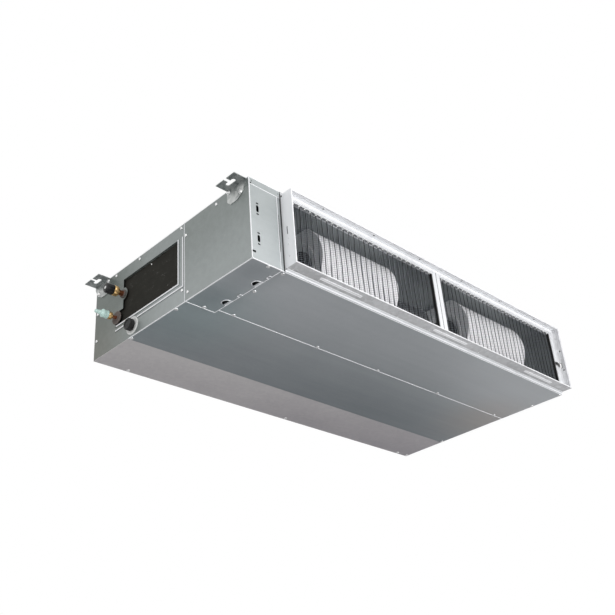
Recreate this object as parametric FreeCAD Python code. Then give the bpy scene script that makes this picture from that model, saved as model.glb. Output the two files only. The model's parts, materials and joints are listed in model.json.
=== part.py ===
import FreeCAD, Part
import math
import os

# Ceiling concealed ducted indoor unit, in millimetres.
# The pieces are drawn in casing coordinates: x runs along the casing from the pipe end,
# y runs with the airflow from the return face to the discharge face, z runs up from the underside.
# place() then moves every piece so that the origin is the middle of the four hanger slots,
# level with the top of the casing.

V = FreeCAD.Vector

# Casing
casing_length = 1400.0
casing_depth = 700.0
casing_height = 250.0
sheet = 1.0
panel_gap = 0.5
flange_width = 20.0

# Seams of the casing
control_box_length = 106.0
control_box_depth = 268.0
control_cover_length = 98.0
seam_hem = 10.0
edge_margin = 9.0
top_fold = 22.0

# Hanger brackets
hanger_front_offset = 47.5
hanger_back_offset = 32.5
hanger_reach = 20.0
hanger_slot_width = 12.0
hanger_slot_length = 33.0
hanger_ear_width = 74.0
hanger_ear_reach = 40.0
hanger_plate = 2.0
hanger_flange_height = 50.0
hanger_flange_corner = 24.0

# Return collar
collar_gap = 4.0
collar_depth = 41.0
collar_lift = 10.0
collar_sheet = 1.2
collar_hem = 8.0
collar_rear_flange = 9.0
collar_window_margin = 14.0
duct_screw_radius = 2.0
duct_screw_pitch = 205.0
duct_screw_inset = 12.0
bead_width = 9.0
bead_height = 1.5
bead_length = 158.0
bead_pitch = 465.0
roof_beads = 4

# Filters
filter_thickness = 11.0
filter_stile = 18.0
handle_stile = 28.0
filter_wall = 1.2
filter_clearance = 0.3
filter_gap = 2.0
filter_front_inset = 24.0
filter_split = 630.0
mesh_pitch = 21.0
mesh_depth = 6.0
mesh_thickness = 0.8
mesh_columns = 6
mesh_rows = 2
mesh_bar = 10.0
rail_sheet = 1.0
rail_leg = 8.0
strap_width = 9.0
strap_thickness = 1.4
strap_height = 92.0
strap_bulge = 5.0
draw_clearance = 0.6

# Fan deck and scrolls
deck_setback = 6.0
scroll_front_gap = 9.7
fan_height_share = 0.484
left_fan_margin = 316.0
right_fan_margin = 328.0
scroll_width_share = 0.48
scroll_start_share = 0.352
scroll_growth_share = 0.00072
scroll_headroom = 16.0
scroll_wall = 1.5
tongue_angle = -20.0
inlet_inset = 8.0
inlet_overlap = 1.0
inlet_depth = 10.0
inlet_flange = 8.0
scroll_flange = 8.0

# Fan wheels
wheel_gap = 11.0
blade_depth = 12.0
wheel_end_gap = 3.5
wheel_ring = 4.0
wheel_disc = 2.0
blade_count = 22
blade_thickness = 1.6
blade_sweep = 6.0
hub_radius = 18.0
hub_length = 30.0

# Motor and shaft
shaft_radius = 6.35
running_clearance = 0.05
motor_radius = 58.0
motor_length = 116.0
boss_radius = 30.0
boss_length = 14.0
cushion_wall = 8.0
cradle_plate = 3.0
cradle_half_width = 58.0
cradle_base_z = 40.0
strap_sheet = 1.5
strap_foot = 14.0
cradle_foot = 48.0

# Coil
coil_rows = 3
coil_headroom = 14.0
tube_pitch = 21.0
row_pitch = 22.0
tube_radius = 4.8
coil_tilt = 40.0
coil_setback = 30.0
coil_foot_z = 75.0
coil_left_x = 116.0
coil_right_margin = 26.0
end_plate = 2.0
end_plate_margin = 3.0
fin_groove_pitch = 84.0
fin_groove_width = 3.0
fin_groove_depth = 5.0
tube_stub = 6.0
header_radius = 11.0

# Drain pan
pan_left_x = 30.0
pan_right_margin = 8.0
pan_setback = 40.0
pan_depth = 250.0
seam_to_pan_back = 26.0
pan_height = 52.0
pan_wall = 10.0
pan_floor = 18.0
pan_fall = 6.0
pan_lift = 3.0
pan_rest_width = 30.0
pan_rest_inset = 60.0

# Drain connection
drain_inset = 45.0
drain_z = 34.0
drain_radius = 13.0
drain_bore = 10.5
drain_reach = 16.0
drain_plate_radius = 27.0
drain_plate = 2.0
drain_cap_wall = 3.0
drain_cap_lobe = 1.5
drain_cap_lobes = 8

# Refrigerant pipes
gas_setback = 5.0
gas_z = 160.0
gas_radius = 7.94
liquid_setback = 32.0
liquid_z = 92.0
liquid_radius = 4.76
gas_grommet_radius = 13.0
liquid_grommet_radius = 20.5
grommet_thickness = 4.0
fitting_reach = 20.0
gas_nut_across = 26.0
gas_nut_length = 16.0
gas_thread_radius = 11.0
gas_thread_length = 22.0
gas_cap_radius = 15.5
liquid_nut_across = 19.0
liquid_nut_length = 13.0
liquid_thread_radius = 8.0
liquid_thread_length = 13.0
liquid_cap_radius = 12.5
liquid_cap_tip_radius = 5.5
liquid_cap_tip = 22.0
liquid_cap_shoulder = 3.5
cap_clearance = 0.3
cap_wall = 3.0

# Service window in the pipe end panel
window_front_gap = 30.0
window_notch_reach = 8.0
window_notch_z = 112.0
window_low_z = 68.0
window_headroom = 42.0
window_rim = 6.0
pipe_lobe_radius = 19.5
trim_ridge = 5.0
trim_height = 1.5
trim_offset = 20.0
foam_thickness = 13.0

# Discharge
outlet_left_x = 150.0
outlet_right_margin = 60.0
outlet_low_z = 37.0
outlet_headroom = 37.0
outlet_reach = 30.0
outlet_land = 14.0
outlet_lip = 4.0
outlet_fold = 12.0
flange_screws = 3
lining = 10.0
lining_gap = 14.0
lining_pan_gap = 3.0

# Control box
cover_ledge = 12.0
wiring_slot_width = 8.5
wiring_slot_height = 21.0
tick_offset = 16.5
tick_length = 8.0
tick_width = 4.2
notch_length = 13.0
notch_width = 6.0
notch_z = 19.5
cable_hole_radius = 12.0
cable_hole_inset = 9.0
cable_hole_lip = 1.2
cover_hook = 8.0
cover_hook_width = 10.0
board_thickness = 1.6
board_standoff = 7.0
board_front = 50.0
board_length = 160.0
board_low_z = 60.0
board_height = 140.0
board_post = 6.0
board_reach = 28.0
terminal_left_x = 18.0
terminal_length = 66.0
terminal_depth = 14.0
terminal_low_z = 120.0
terminal_height = 30.0
terminal_pitch = 11.0
terminal_rib = 1.6
terminal_rib_reach = 8.0

# Fasteners
screw_across = 7.0
screw_height = 2.4
bolt_across = 10.0
bolt_height = 4.0
bolt_edge = 6.0

# Places that follow from the sizes above
hanger_pitch = casing_depth - hanger_front_offset - hanger_back_offset
hanger_mid_y = hanger_front_offset + hanger_pitch / 2
fan_deck_x = control_box_length
deck_y = control_box_depth - deck_setback
fan_panel_depth = deck_y - flange_width / 2 - 2
collar_x = control_box_length + collar_gap
collar_top_z = casing_height - collar_lift
left_fan_x = fan_deck_x + left_fan_margin
right_fan_x = casing_length - right_fan_margin
fan_spacing = right_fan_x - left_fan_x
motor_x = left_fan_x + fan_spacing / 2
fan_axis_z = fan_height_share * casing_height
scroll_width = scroll_width_share * fan_spacing
scroll_start_radius = scroll_start_share * casing_height
scroll_growth = scroll_growth_share * casing_height
scroll_top = casing_height - scroll_headroom
wheel_radius = scroll_start_radius - wheel_gap
fan_axis_y = scroll_front_gap + scroll_wall + scroll_start_radius + scroll_growth * (180.0 + tongue_angle)
wheel_inner_radius = wheel_radius - blade_depth
inlet_radius = scroll_start_radius - inlet_inset
inlet_throat = wheel_inner_radius + inlet_overlap
pan_front_y = deck_y + pan_setback
pan_back_y = pan_front_y + pan_depth
coil_foot_y = pan_front_y + coil_setback
coil_room = (casing_height - coil_foot_z - coil_headroom) / math.cos(math.radians(coil_tilt))
coil_high = int(coil_room / tube_pitch)
discharge_seam_y = pan_back_y - seam_to_pan_back
drain_y = pan_back_y - drain_inset
gas_y = pan_back_y + gas_setback
liquid_y = pan_back_y + liquid_setback
window_front_y = control_box_depth + window_front_gap
window_back_y = gas_y
window_notch_y = liquid_y + window_notch_reach
window_high_z = casing_height - window_headroom
outlet_length = casing_length - outlet_left_x - outlet_right_margin
outlet_height = casing_height - outlet_low_z - outlet_headroom
tongue_z = fan_axis_z + scroll_start_radius * math.sin(math.radians(tongue_angle))


# Basic solids

def box(x0, x1, y0, y1, z0, z1):
    return Part.makeBox(x1 - x0, y1 - y0, z1 - z0, V(x0, y0, z0))


def rod_x(x0, x1, y, z, radius):
    return Part.makeCylinder(radius, x1 - x0, V(x0, y, z), V(1, 0, 0))


def tube_x(x0, x1, y, z, outer, inner):
    return rod_x(x0, x1, y, z, outer).cut(rod_x(x0, x1, y, z, inner))


def prism(points, direction):
    return Part.Face(Part.makePolygon(points + [points[0]])).extrude(direction)


def fused(shapes):
    whole = shapes[0].multiFuse(shapes[1:]) if len(shapes) > 1 else shapes[0]
    return whole.removeSplitter()


def cut_all(shape, tools):
    return shape.cut(Part.makeCompound(tools)) if tools else shape


def slot_z(x, y, length_x, length_y, z0, z1):
    # An upright slot with round ends, its long side along x or along y
    radius = min(length_x, length_y) / 2
    half_x = length_x / 2 - radius
    half_y = length_y / 2 - radius
    ends = [Part.makeCylinder(radius, z1 - z0, V(x + side * half_x, y + side * half_y, z0))
            for side in (-1, 1)]
    if half_x > half_y:
        middle = box(x - half_x, x + half_x, y - radius, y + radius, z0, z1)
    else:
        middle = box(x - radius, x + radius, y - half_y, y + half_y, z0, z1)
    return fused(ends + [middle])


def bar_z(x, y, length_x, length_y, z0, z1):
    # A pressed bar with its four corners cut off
    corner = min(length_x, length_y) * 0.3
    half_x = length_x / 2
    half_y = length_y / 2
    outline = [(-half_x, corner - half_y), (corner - half_x, -half_y), (half_x - corner, -half_y),
               (half_x, corner - half_y), (half_x, half_y - corner), (half_x - corner, half_y),
               (corner - half_x, half_y), (-half_x, half_y - corner)]
    return prism([V(x + dx, y + dy, z0) for dx, dy in outline], V(0, 0, z1 - z0))


def slot_y(x, z, width, height, y0, y1):
    # A slot through an upright sheet, its long side upright
    radius = width / 2
    half = height / 2 - radius
    ends = [Part.makeCylinder(radius, y1 - y0, V(x, y0, z + side * half), V(0, 1, 0)) for side in (-1, 1)]
    return fused(ends + [box(x - radius, x + radius, y0, y1, z - half, z + half)])


def hexagon(centre, across, height, direction):
    # A six-sided prism standing on a face at centre
    axis = V(direction)
    side = V(0, 0, 1) if abs(axis.z) < 0.5 else V(1, 0, 0)
    other = axis.cross(side)
    radius = across / math.sqrt(3)
    points = []
    for i in range(6):
        angle = math.radians(60 * i)
        points.append(centre + side * (radius * math.cos(angle)) + other * (radius * math.sin(angle)))
    return prism(points, axis * height)


def mirror_ends(shape):
    return shape.mirror(V(casing_length / 2, 0, 0), V(1, 0, 0))


def mirror_air(shape):
    return shape.mirror(V(0, hanger_mid_y, 0), V(0, 1, 0))


def place(shape):
    moved = shape.copy()
    moved.translate(V(-casing_length / 2, -hanger_mid_y, -casing_height))
    return moved


def save(name, shape):
    solids = shape.Solids
    whole = solids[0] if len(solids) == 1 else Part.makeCompound(solids)
    place(whole).exportStep("parts/" + name + ".step")
    state = "valid" if whole.isValid() else "NOT VALID"
    print(name, len(solids), "solid(s)", round(whole.Volume), "mm3", state)


# Casing panels

def top_panel():
    body = box(0, casing_length, 0, casing_depth, casing_height - sheet, casing_height)
    low = casing_height - top_fold
    roof = casing_height - sheet
    front = box(0, control_box_length, 0, sheet, low, roof)
    for x in (control_box_length * 0.08, control_box_length * 0.94):
        front = front.cut(Part.makeCylinder(2.5, sheet, V(x, 0, low + top_fold / 2), V(0, 1, 0)))
    left = box(sheet, 2 * sheet, control_box_depth + sheet, casing_depth - 2 * sheet, low, roof)
    right = box(casing_length - 2 * sheet, casing_length - sheet,
                2 * sheet, casing_depth - 2 * sheet, low, roof)
    beads = []
    grooves = []
    bead_middle_y = fan_axis_y
    bead_long = deck_y * 0.7
    for i in range(roof_beads):
        x = collar_x + (i + 0.5) * (casing_length - collar_x) / roof_beads
        beads.append(bar_z(x, bead_middle_y, bead_width, bead_long, roof - bead_height, roof))
        grooves.append(bar_z(x, bead_middle_y, bead_width - 2 * sheet, bead_long - 2 * sheet,
                             casing_height - bead_height, casing_height))
    return cut_all(fused([body, front, left, right] + beads), grooves)


def window_face():
    # The window's outline: a rectangle, a low notch for the liquid pipe, and a lobe kept round the gas pipe
    corners = [(window_front_y, window_low_z), (window_notch_y, window_low_z),
               (window_notch_y, window_notch_z),
               (window_back_y, window_notch_z), (window_back_y, window_high_z),
               (window_front_y, window_high_z)]
    outline = prism([V(-sheet, y, z) for y, z in corners], V(3 * sheet, 0, 0))
    return outline.cut(rod_x(-2 * sheet, 3 * sheet, gas_y, gas_z, pipe_lobe_radius))


def pipe_end_panel():
    front = control_box_depth + sheet
    back = casing_depth - sheet
    low = sheet
    roof = casing_height - sheet
    plate = box(0, sheet, front, back, low, roof)
    folds = [box(sheet, flange_width, front, back, low, low + sheet),
             box(sheet, flange_width, front, front + sheet, low + sheet, roof - top_fold),
             box(sheet, flange_width, back - sheet, back, low + sheet, roof)]
    depth = sheet + window_rim
    rim_front = window_front_y - sheet
    rims = [box(sheet, depth, rim_front, window_front_y, window_low_z - sheet, window_high_z + sheet),
            box(sheet, depth, window_front_y, window_notch_y, window_low_z - sheet, window_low_z),
            box(sheet, depth, window_front_y, window_back_y, window_high_z, window_high_z + sheet)]
    ridges = []
    for step in (0, trim_offset):
        y = window_front_y - step - trim_ridge
        z = window_low_z - step * 0.7 - trim_ridge
        ridges.append(box(-trim_height, 0, y, y + trim_ridge, z, window_high_z))
        ridges.append(box(-trim_height, 0, y, window_notch_y, z, z + trim_ridge))
    clear = [rod_x(-2 * trim_height, 0, drain_y, drain_z, drain_plate_radius + panel_gap),
             rod_x(-2 * trim_height, 0, liquid_y, liquid_z, liquid_grommet_radius + panel_gap)]
    ridges = [cut_all(ridge, clear) for ridge in ridges]
    panel = fused([plate] + folds + rims + ridges).cut(window_face())
    holes = [rod_x(-sheet, 2 * sheet, gas_y, gas_z, gas_radius + 2),
             rod_x(-sheet, 2 * sheet, drain_y, drain_z, drain_radius + 1)]
    return cut_all(panel, holes)


def right_end_panel():
    back = casing_depth - sheet
    low = sheet
    roof = casing_height - sheet
    outer = casing_length
    inner = outer - sheet
    plate = box(inner, outer, sheet, back, low, roof)
    folds = [box(outer - flange_width, inner, sheet, back, low, low + sheet),
             box(outer - flange_width, inner, sheet, 2 * sheet, low + sheet, roof),
             box(outer - flange_width, inner, back - sheet, back, low + sheet, roof)]
    return fused([plate] + folds)


def control_box_shell():
    low = sheet
    roof = casing_height - sheet
    right = control_box_length
    back = control_box_depth
    left_wall = box(0, sheet, sheet, back + sheet, low, roof)
    back_wall = box(sheet, right, back - sheet, back, low, roof)
    right_wall = box(right - sheet, right, sheet, back - sheet, low, roof)
    folds = [box(sheet, cover_ledge, sheet, 2 * sheet, low, roof),
             box(right - flange_width / 2, right - sheet, sheet, 2 * sheet, low, roof),
             box(sheet, cover_ledge, 2 * sheet, back - sheet, low, low + sheet),
             box(sheet, right - sheet, back - flange_width, back - sheet, low, low + sheet),
             box(right - cover_ledge, right - sheet, 2 * sheet, back - flange_width, low, low + sheet)]
    return fused([left_wall, back_wall, right_wall] + folds).cut(wiring_notch())


def wiring_notch():
    # A notch at the foot of the control box, through the front cover and the fold behind it
    return box(-sheet, notch_length, -sheet, 3 * sheet, notch_z, notch_z + notch_width)


def control_box_front_cover():
    cover_edge = control_box_length - flange_width / 2 - panel_gap
    cover = box(0, cover_edge, 0, sheet, sheet, casing_height - top_fold - panel_gap)
    slot_x = cover_edge * 0.26
    holes = []
    for middle in (0.63 * casing_height, 0.265 * casing_height):
        holes.append(slot_y(slot_x, middle, wiring_slot_width, wiring_slot_height, -sheet, 2 * sheet))
        for side in (-1, 1):
            z = middle + side * tick_offset
            holes.append(box(slot_x - tick_length / 2, slot_x + tick_length / 2, -sheet, 2 * sheet,
                             z - tick_width / 2, z + tick_width / 2))
    return cut_all(cover, holes + [wiring_notch()])


def half_moon(x, y, radius, grow, z0, z1):
    # A half disc whose flat side faces +X, grown all round by one amount
    disc = Part.makeCylinder(radius + grow, z1 - z0, V(x, y, z0))
    reach = radius + 2 * grow
    return disc.cut(box(x + grow, x + reach, y - reach, y + reach, z0, z1))


def control_box_bottom_cover():
    cover = box(0, control_cover_length, 0, control_box_depth - 2 * sheet, 0, sheet)
    lip = cable_hole_lip
    edge = control_cover_length - cable_hole_inset
    holes = []
    lips = []
    for y in (0.32 * control_box_depth, 0.77 * control_box_depth):
        holes.append(half_moon(edge, y, cable_hole_radius, 0, -3 * lip, 2 * sheet))
        lips.append(half_moon(edge, y, cable_hole_radius, lip, -lip, 0))
    hooks = [box(control_cover_length - cover_hook, control_cover_length,
                 y - cover_hook_width / 2, y + cover_hook_width / 2, -sheet, 0)
             for y in (0.16 * control_box_depth, 0.585 * control_box_depth)]
    return cut_all(fused([cover] + lips + hooks), holes)


def fan_section_bottom_panel():
    x0 = control_cover_length + panel_gap
    plate = box(x0, casing_length, 0, fan_panel_depth, 0, sheet)
    lip = box(collar_x, casing_length, 0, sheet, sheet, collar_lift)
    return fused([plate, lip])


def drain_pan_cover():
    back = discharge_seam_y
    front = fan_panel_depth + panel_gap
    step = control_box_depth - 2 * sheet + panel_gap
    step_x = control_cover_length + panel_gap
    corners = [(0, step), (step_x, step), (step_x, front),
               (casing_length, front), (casing_length, back), (0, back)]
    plate = prism([V(x, y, 0) for x, y in corners], V(0, 0, sheet))
    hem = box(flange_width + 2 * sheet, casing_length - flange_width - 2 * sheet,
              back - sheet, back, sheet, seam_hem)
    return fused([plate, hem.cut(pan_space())])


def pan_base_z():
    return sheet + pan_lift


def pan_space():
    # The room that the drain pan takes above the bottom panels
    return box(pan_left_x, casing_length - pan_right_margin,
               pan_front_y, pan_back_y, pan_base_z(), casing_height)


def discharge_bottom_panel():
    front = discharge_seam_y + panel_gap
    plate = box(0, casing_length, front, casing_depth - sheet, 0, sheet)
    hem = box(flange_width + 2 * sheet, casing_length - flange_width - 2 * sheet,
              front, front + sheet, sheet, seam_hem)
    return fused([plate, hem.cut(pan_space())])


def return_frame():
    low = collar_lift
    roof = casing_height - sheet
    plate = box(collar_x, casing_length, 0, sheet, low, roof)
    fold = box(collar_x, collar_x + sheet, sheet, flange_width, low, roof)
    margin = collar_window_margin
    window = box(collar_x + margin, casing_length - margin,
                 -sheet, 2 * sheet, low + margin, collar_top_z - margin)
    return fused([plate, fold]).cut(window)


def fan_deck():
    low = sheet
    roof = casing_height - sheet
    right = casing_length - 2 * sheet
    plate = box(fan_deck_x, right, deck_y, deck_y + sheet, low + sheet, roof - sheet)
    folds = [box(fan_deck_x, casing_length - flange_width - panel_gap, deck_y - flange_width, deck_y + sheet,
                 low, low + sheet),
             box(fan_deck_x, right, deck_y - flange_width, deck_y + sheet, roof - sheet, roof),
             box(fan_deck_x, fan_deck_x + sheet, deck_y - flange_width, deck_y, low + sheet, roof - sheet)]
    mouths = []
    for x in (left_fan_x, right_fan_x):
        half = scroll_width / 2 - scroll_wall
        mouths.append(box(x - half, x + half, deck_y - sheet, deck_y + 2 * sheet,
                          tongue_z, scroll_top - scroll_wall))
    return cut_all(fused([plate] + folds), mouths)


def outlet_box(grow, y0, y1):
    return box(outlet_left_x - grow, outlet_left_x + outlet_length + grow, y0, y1,
               outlet_low_z - grow, outlet_low_z + outlet_height + grow)


def discharge_frame():
    back = casing_depth
    plate = box(0, casing_length, back - sheet, back, 0, casing_height - sheet)
    lips = outlet_box(sheet, back - outlet_fold, back - sheet)
    return fused([plate, lips]).cut(outlet_box(0, back - 2 * outlet_fold, back + sheet))


def discharge_flange():
    back = casing_depth
    neck = outlet_box(-panel_gap, back, back + outlet_reach)
    land = outlet_box(outlet_land, back, back + sheet)
    lip = outlet_box(outlet_lip, back + outlet_reach - sheet, back + outlet_reach)
    hole = outlet_box(-panel_gap - sheet, back - sheet, back + outlet_reach + sheet)
    flange = fused([land, neck, lip]).cut(hole)
    holes = []
    for z in (outlet_low_z - outlet_land / 2, outlet_low_z + outlet_height + outlet_land / 2):
        for i in range(flange_screws):
            x = outlet_left_x + (i + 0.5) * outlet_length / flange_screws
            holes.append(Part.makeCylinder(duct_screw_radius, 3 * sheet, V(x, back - sheet, z), V(0, 1, 0)))
    return cut_all(flange, holes)


# Return collar, rails and filters

def collar_outline(inset, y0, y1):
    return box(collar_x + inset, casing_length - inset, y0, y1, collar_lift + inset, collar_top_z - inset)


def duct_screw_stations():
    middle = (collar_x + casing_length) / 2
    return [middle + (i - 2.5) * duct_screw_pitch for i in range(6)]


def return_collar():
    front = -collar_depth
    walls = collar_outline(0, front, 0).cut(collar_outline(collar_sheet, front - 1, 1))
    hem_ring = collar_outline(0, front, front + collar_hem)
    hem_ring = hem_ring.cut(collar_outline(2 * collar_sheet, front - 1, front + collar_hem + 1))
    rear = collar_outline(0, -collar_sheet, 0)
    rear = rear.cut(collar_outline(collar_sheet + collar_rear_flange, -2 * collar_sheet, 1))
    pads = []
    hollows = []
    middle = (collar_x + casing_length) / 2
    bead_y = front + filter_front_inset / 2 + 6
    for i in (-1, 0, 1):
        x = middle + i * bead_pitch
        pads.append(bar_z(x, bead_y, bead_length, bead_width, collar_lift - bead_height, collar_lift))
        hollows.append(bar_z(x, bead_y, bead_length - 2 * collar_sheet, bead_width - 2 * collar_sheet,
                             collar_lift - bead_height + collar_sheet, collar_lift + collar_sheet))
    collar = fused([walls, hem_ring, rear] + pads)
    holes = []
    hole_y = front + duct_screw_inset
    for x in duct_screw_stations():
        spot = V(x, hole_y, collar_top_z - 2 * collar_sheet)
        holes.append(Part.makeCylinder(duct_screw_radius, 3 * collar_sheet, spot))
    for z in (collar_lift + 0.32 * collar_height(), collar_lift + 0.63 * collar_height()):
        holes.append(rod_x(casing_length - 2 * collar_sheet, casing_length + 1, hole_y, z, duct_screw_radius))
    low, high = filter_heights()
    draw_slot = box(casing_length - 2 * collar_sheet, casing_length + 1,
                    filter_front() - draw_clearance, filter_back() + draw_clearance,
                    low - filter_clearance, high + filter_clearance)
    strap_notch = box(casing_length - 2 * collar_sheet, casing_length + 1,
                      filter_front() - strap_bulge - strap_thickness - 2 * draw_clearance, filter_front(),
                      collar_lift + strap_height - strap_width, collar_lift + strap_height + strap_width)
    left_slot = box(collar_x - 1, collar_x + 2 * collar_sheet, filter_front() - 1, filter_front() + 2,
                    0.45 * collar_top_z, 0.55 * collar_top_z)
    return cut_all(collar, hollows + holes + [draw_slot, strap_notch, left_slot])


def collar_height():
    return collar_top_z - collar_lift


def filter_front():
    return -collar_depth + filter_front_inset


def filter_back():
    return filter_front() + filter_thickness


def filter_heights():
    # The filters stand on the bottom rail and stay just clear of the top rail
    inset = collar_sheet + rail_sheet + filter_clearance
    return collar_lift + inset, collar_top_z - inset


def filter_rail(web_z, leg_direction):
    x0 = collar_x + collar_sheet
    x1 = casing_length - collar_sheet
    front = filter_front() - filter_clearance
    back = filter_back() + filter_clearance
    web_low = min(web_z, web_z + leg_direction * rail_sheet)
    leg_low = min(web_z, web_z + leg_direction * rail_leg)
    web = box(x0, x1, front - rail_sheet, back + rail_sheet, web_low, web_low + rail_sheet)
    legs = [box(x0, x1, front - rail_sheet, front, leg_low, leg_low + rail_leg),
            box(x0, x1, back, back + rail_sheet, leg_low, leg_low + rail_leg)]
    return fused([web] + legs)


def filter_spans():
    # Start and end of each filter along the casing, and the width of its right-hand stile
    x0 = collar_x + collar_sheet + filter_clearance
    split = collar_x + filter_split
    x1 = casing_length - collar_sheet - filter_clearance
    return {"left": (x0, split, filter_stile), "right": (split + filter_gap, x1, handle_stile)}


def filter_frame(x0, x1, right_stile):
    low, high = filter_heights()
    front = filter_front()
    back = filter_back()
    rim = box(x0, x1, front, back, low, high)
    window = box(x0 + filter_stile, x1 - right_stile, front - 1, back + 1,
                 low + filter_stile, high - filter_stile)
    groove = box(x0 + filter_wall, x1 - filter_wall, front + filter_wall, back - filter_wall,
                 low + filter_wall, high - filter_wall)
    return rim.cut(window).cut(groove)


def filter_mesh(x0, x1, right_stile):
    # Pleated netting on a plain grid of bands, its pleats upright, its edges held in the frame's channel
    low, high = filter_heights()
    reach = filter_stile - 2.0
    left = x0 + filter_stile - reach / 2
    right = x1 - right_stile + reach / 2
    count = int(round((right - left) / (mesh_pitch / 2)))
    near = filter_front() + filter_wall + 1.0
    crest = [V(left + i * (right - left) / count, near + (i % 2) * mesh_depth, low + reach / 2)
             for i in range(count + 1)]
    back = [point + V(0, mesh_thickness, 0) for point in reversed(crest)]
    pleats = prism(crest + back, V(0, 0, high - low - reach))
    open_left = x0 + filter_stile + mesh_bar
    open_low = low + filter_stile + mesh_bar
    pitch_x = (x1 - right_stile - open_left) / mesh_columns
    pitch_z = (high - filter_stile - open_low) / mesh_rows
    openings = []
    for i in range(mesh_columns):
        for j in range(mesh_rows):
            x = open_left + i * pitch_x
            z = open_low + j * pitch_z
            openings.append(box(x, x + pitch_x - mesh_bar,
                                filter_front(), filter_back(), z, z + pitch_z - mesh_bar))
    return cut_all(pleats, openings)


def filter_pull_strap():
    # A soft strap looped over the handle stile of the right-hand filter, its foot tucked behind the stile
    x1 = filter_spans()["right"][1]
    front = filter_front()
    inner = x1 - handle_stile - panel_gap
    z = collar_lift + strap_height
    half = strap_width / 2
    bulge = strap_bulge
    left_leg = box(inner - strap_thickness, inner, front - bulge / 2, front + 3.0, z - half, z + half)
    outer_arc = Part.Arc(V(inner - strap_thickness, front - bulge / 2, z - half),
                         V(inner + handle_stile / 2, front - bulge - strap_thickness, z - half),
                         V(inner + handle_stile - 2, front - strap_thickness, z - half)).toShape()
    inner_arc = Part.Arc(V(inner + handle_stile - 2, front, z - half),
                         V(inner + handle_stile / 2, front - bulge, z - half),
                         V(inner, front - bulge / 2 + strap_thickness, z - half)).toShape()
    ends = [Part.makeLine(V(inner + handle_stile - 2, front - strap_thickness, z - half),
                          V(inner + handle_stile - 2, front, z - half)),
            Part.makeLine(V(inner, front - bulge / 2 + strap_thickness, z - half),
                          V(inner - strap_thickness, front - bulge / 2, z - half))]
    outline = Part.Wire(Part.__sortEdges__([outer_arc, inner_arc] + ends))
    loop = Part.Face(outline).extrude(V(0, 0, strap_width))
    return fused([loop, left_leg])


# Scroll housings and their inlet rings

def spiral_radius(travel):
    return scroll_start_radius + scroll_growth * travel


def spiral_point(x, travel, wall):
    angle = math.radians(tongue_angle - travel)
    radius = spiral_radius(travel) + wall
    return V(x, fan_axis_y + radius * math.cos(angle), fan_axis_z + radius * math.sin(angle))


def scroll_body(x0, x1, wall, mouth_y):
    # The spiral sector and the outlet duct that leaves it at the top
    last = 270.0 + tongue_angle
    arcs = 4
    points = [spiral_point(x0, last * i / (2 * arcs), wall) for i in range(2 * arcs + 1)]
    spiral = [Part.Arc(*points[2 * i:2 * i + 3]).toShape() for i in range(arcs)]
    centre = V(x0, fan_axis_y, fan_axis_z)
    edges = spiral + [Part.makeLine(points[-1], centre), Part.makeLine(centre, points[0])]
    sector = Part.Face(Part.Wire(edges)).extrude(V(x1 - x0, 0, 0))
    duct = box(x0, x1, fan_axis_y, mouth_y, tongue_z - wall, scroll_top + 60)
    roof = scroll_top - scroll_wall + wall
    return sector.fuse(duct).common(box(x0 - 1, x1 + 1, 0, mouth_y, 0, roof))


def scroll_shell(middle_x):
    x0 = middle_x - scroll_width / 2
    x1 = middle_x + scroll_width / 2
    outer = scroll_body(x0, x1, scroll_wall, deck_y)
    inner = scroll_body(x0 + scroll_wall, x1 - scroll_wall, 0, deck_y + 1)
    shell = outer.cut(inner)
    shell = shell.cut(rod_x(x0 - 1, x1 + 1, fan_axis_y, fan_axis_z, inlet_radius))
    grow = scroll_flange
    flange = box(x0 - grow, x1 + grow, deck_y - scroll_wall, deck_y, tongue_z - grow, scroll_top + grow)
    mouth = box(x0 + scroll_wall, x1 - scroll_wall, deck_y - 2 * scroll_wall, deck_y + 1,
                tongue_z, scroll_top - scroll_wall)
    return fused([shell, flange.cut(mouth)])


def scroll_halves(middle_x):
    # The housing parts level with the shaft, so that the wheel can be lifted out
    shell = scroll_shell(middle_x)
    x0 = middle_x - scroll_width
    x1 = middle_x + scroll_width
    above = box(x0, x1, -casing_depth, casing_depth, fan_axis_z, 2 * casing_height)
    return shell.common(above), shell.cut(above)


def inlet_ring(plate_x, outward):
    # A bell mouth: a flange on the side plate, narrowing to the throat inside the housing
    inward = -outward
    start = V(plate_x + outward * scroll_wall, inlet_radius + inlet_flange, 0)
    edge = V(plate_x + outward * scroll_wall, inlet_radius - cap_clearance - scroll_wall, 0)
    throat = V(plate_x + inward * inlet_depth, inlet_throat, 0)
    outer = [start, edge, throat]
    inner = [V(throat.x, throat.y + scroll_wall, 0),
             V(plate_x, inlet_radius - cap_clearance, 0),
             V(plate_x, inlet_radius + inlet_flange, 0)]
    profile = Part.Face(Part.makePolygon(outer + inner + [start]))
    ring = profile.revolve(V(0, 0, 0), V(1, 0, 0), 360)
    ring.translate(V(0, fan_axis_y, fan_axis_z))
    return ring


def inlet_rings(middle_x):
    return Part.makeCompound([inlet_ring(middle_x + side * scroll_width / 2, side) for side in (-1, 1)])


# Fan wheels, shaft and motor

def blade(x0, x1):
    # One forward-leaning blade, from the inner to the outer radius
    inner = V(x0, wheel_inner_radius, 0)
    outer = V(x0, wheel_radius - 0.6, blade_sweep)
    shift = V(0, -0.35, 1) * blade_thickness
    return prism([inner, outer, outer + shift, inner + shift], V(x1 - x0, 0, 0))


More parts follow.
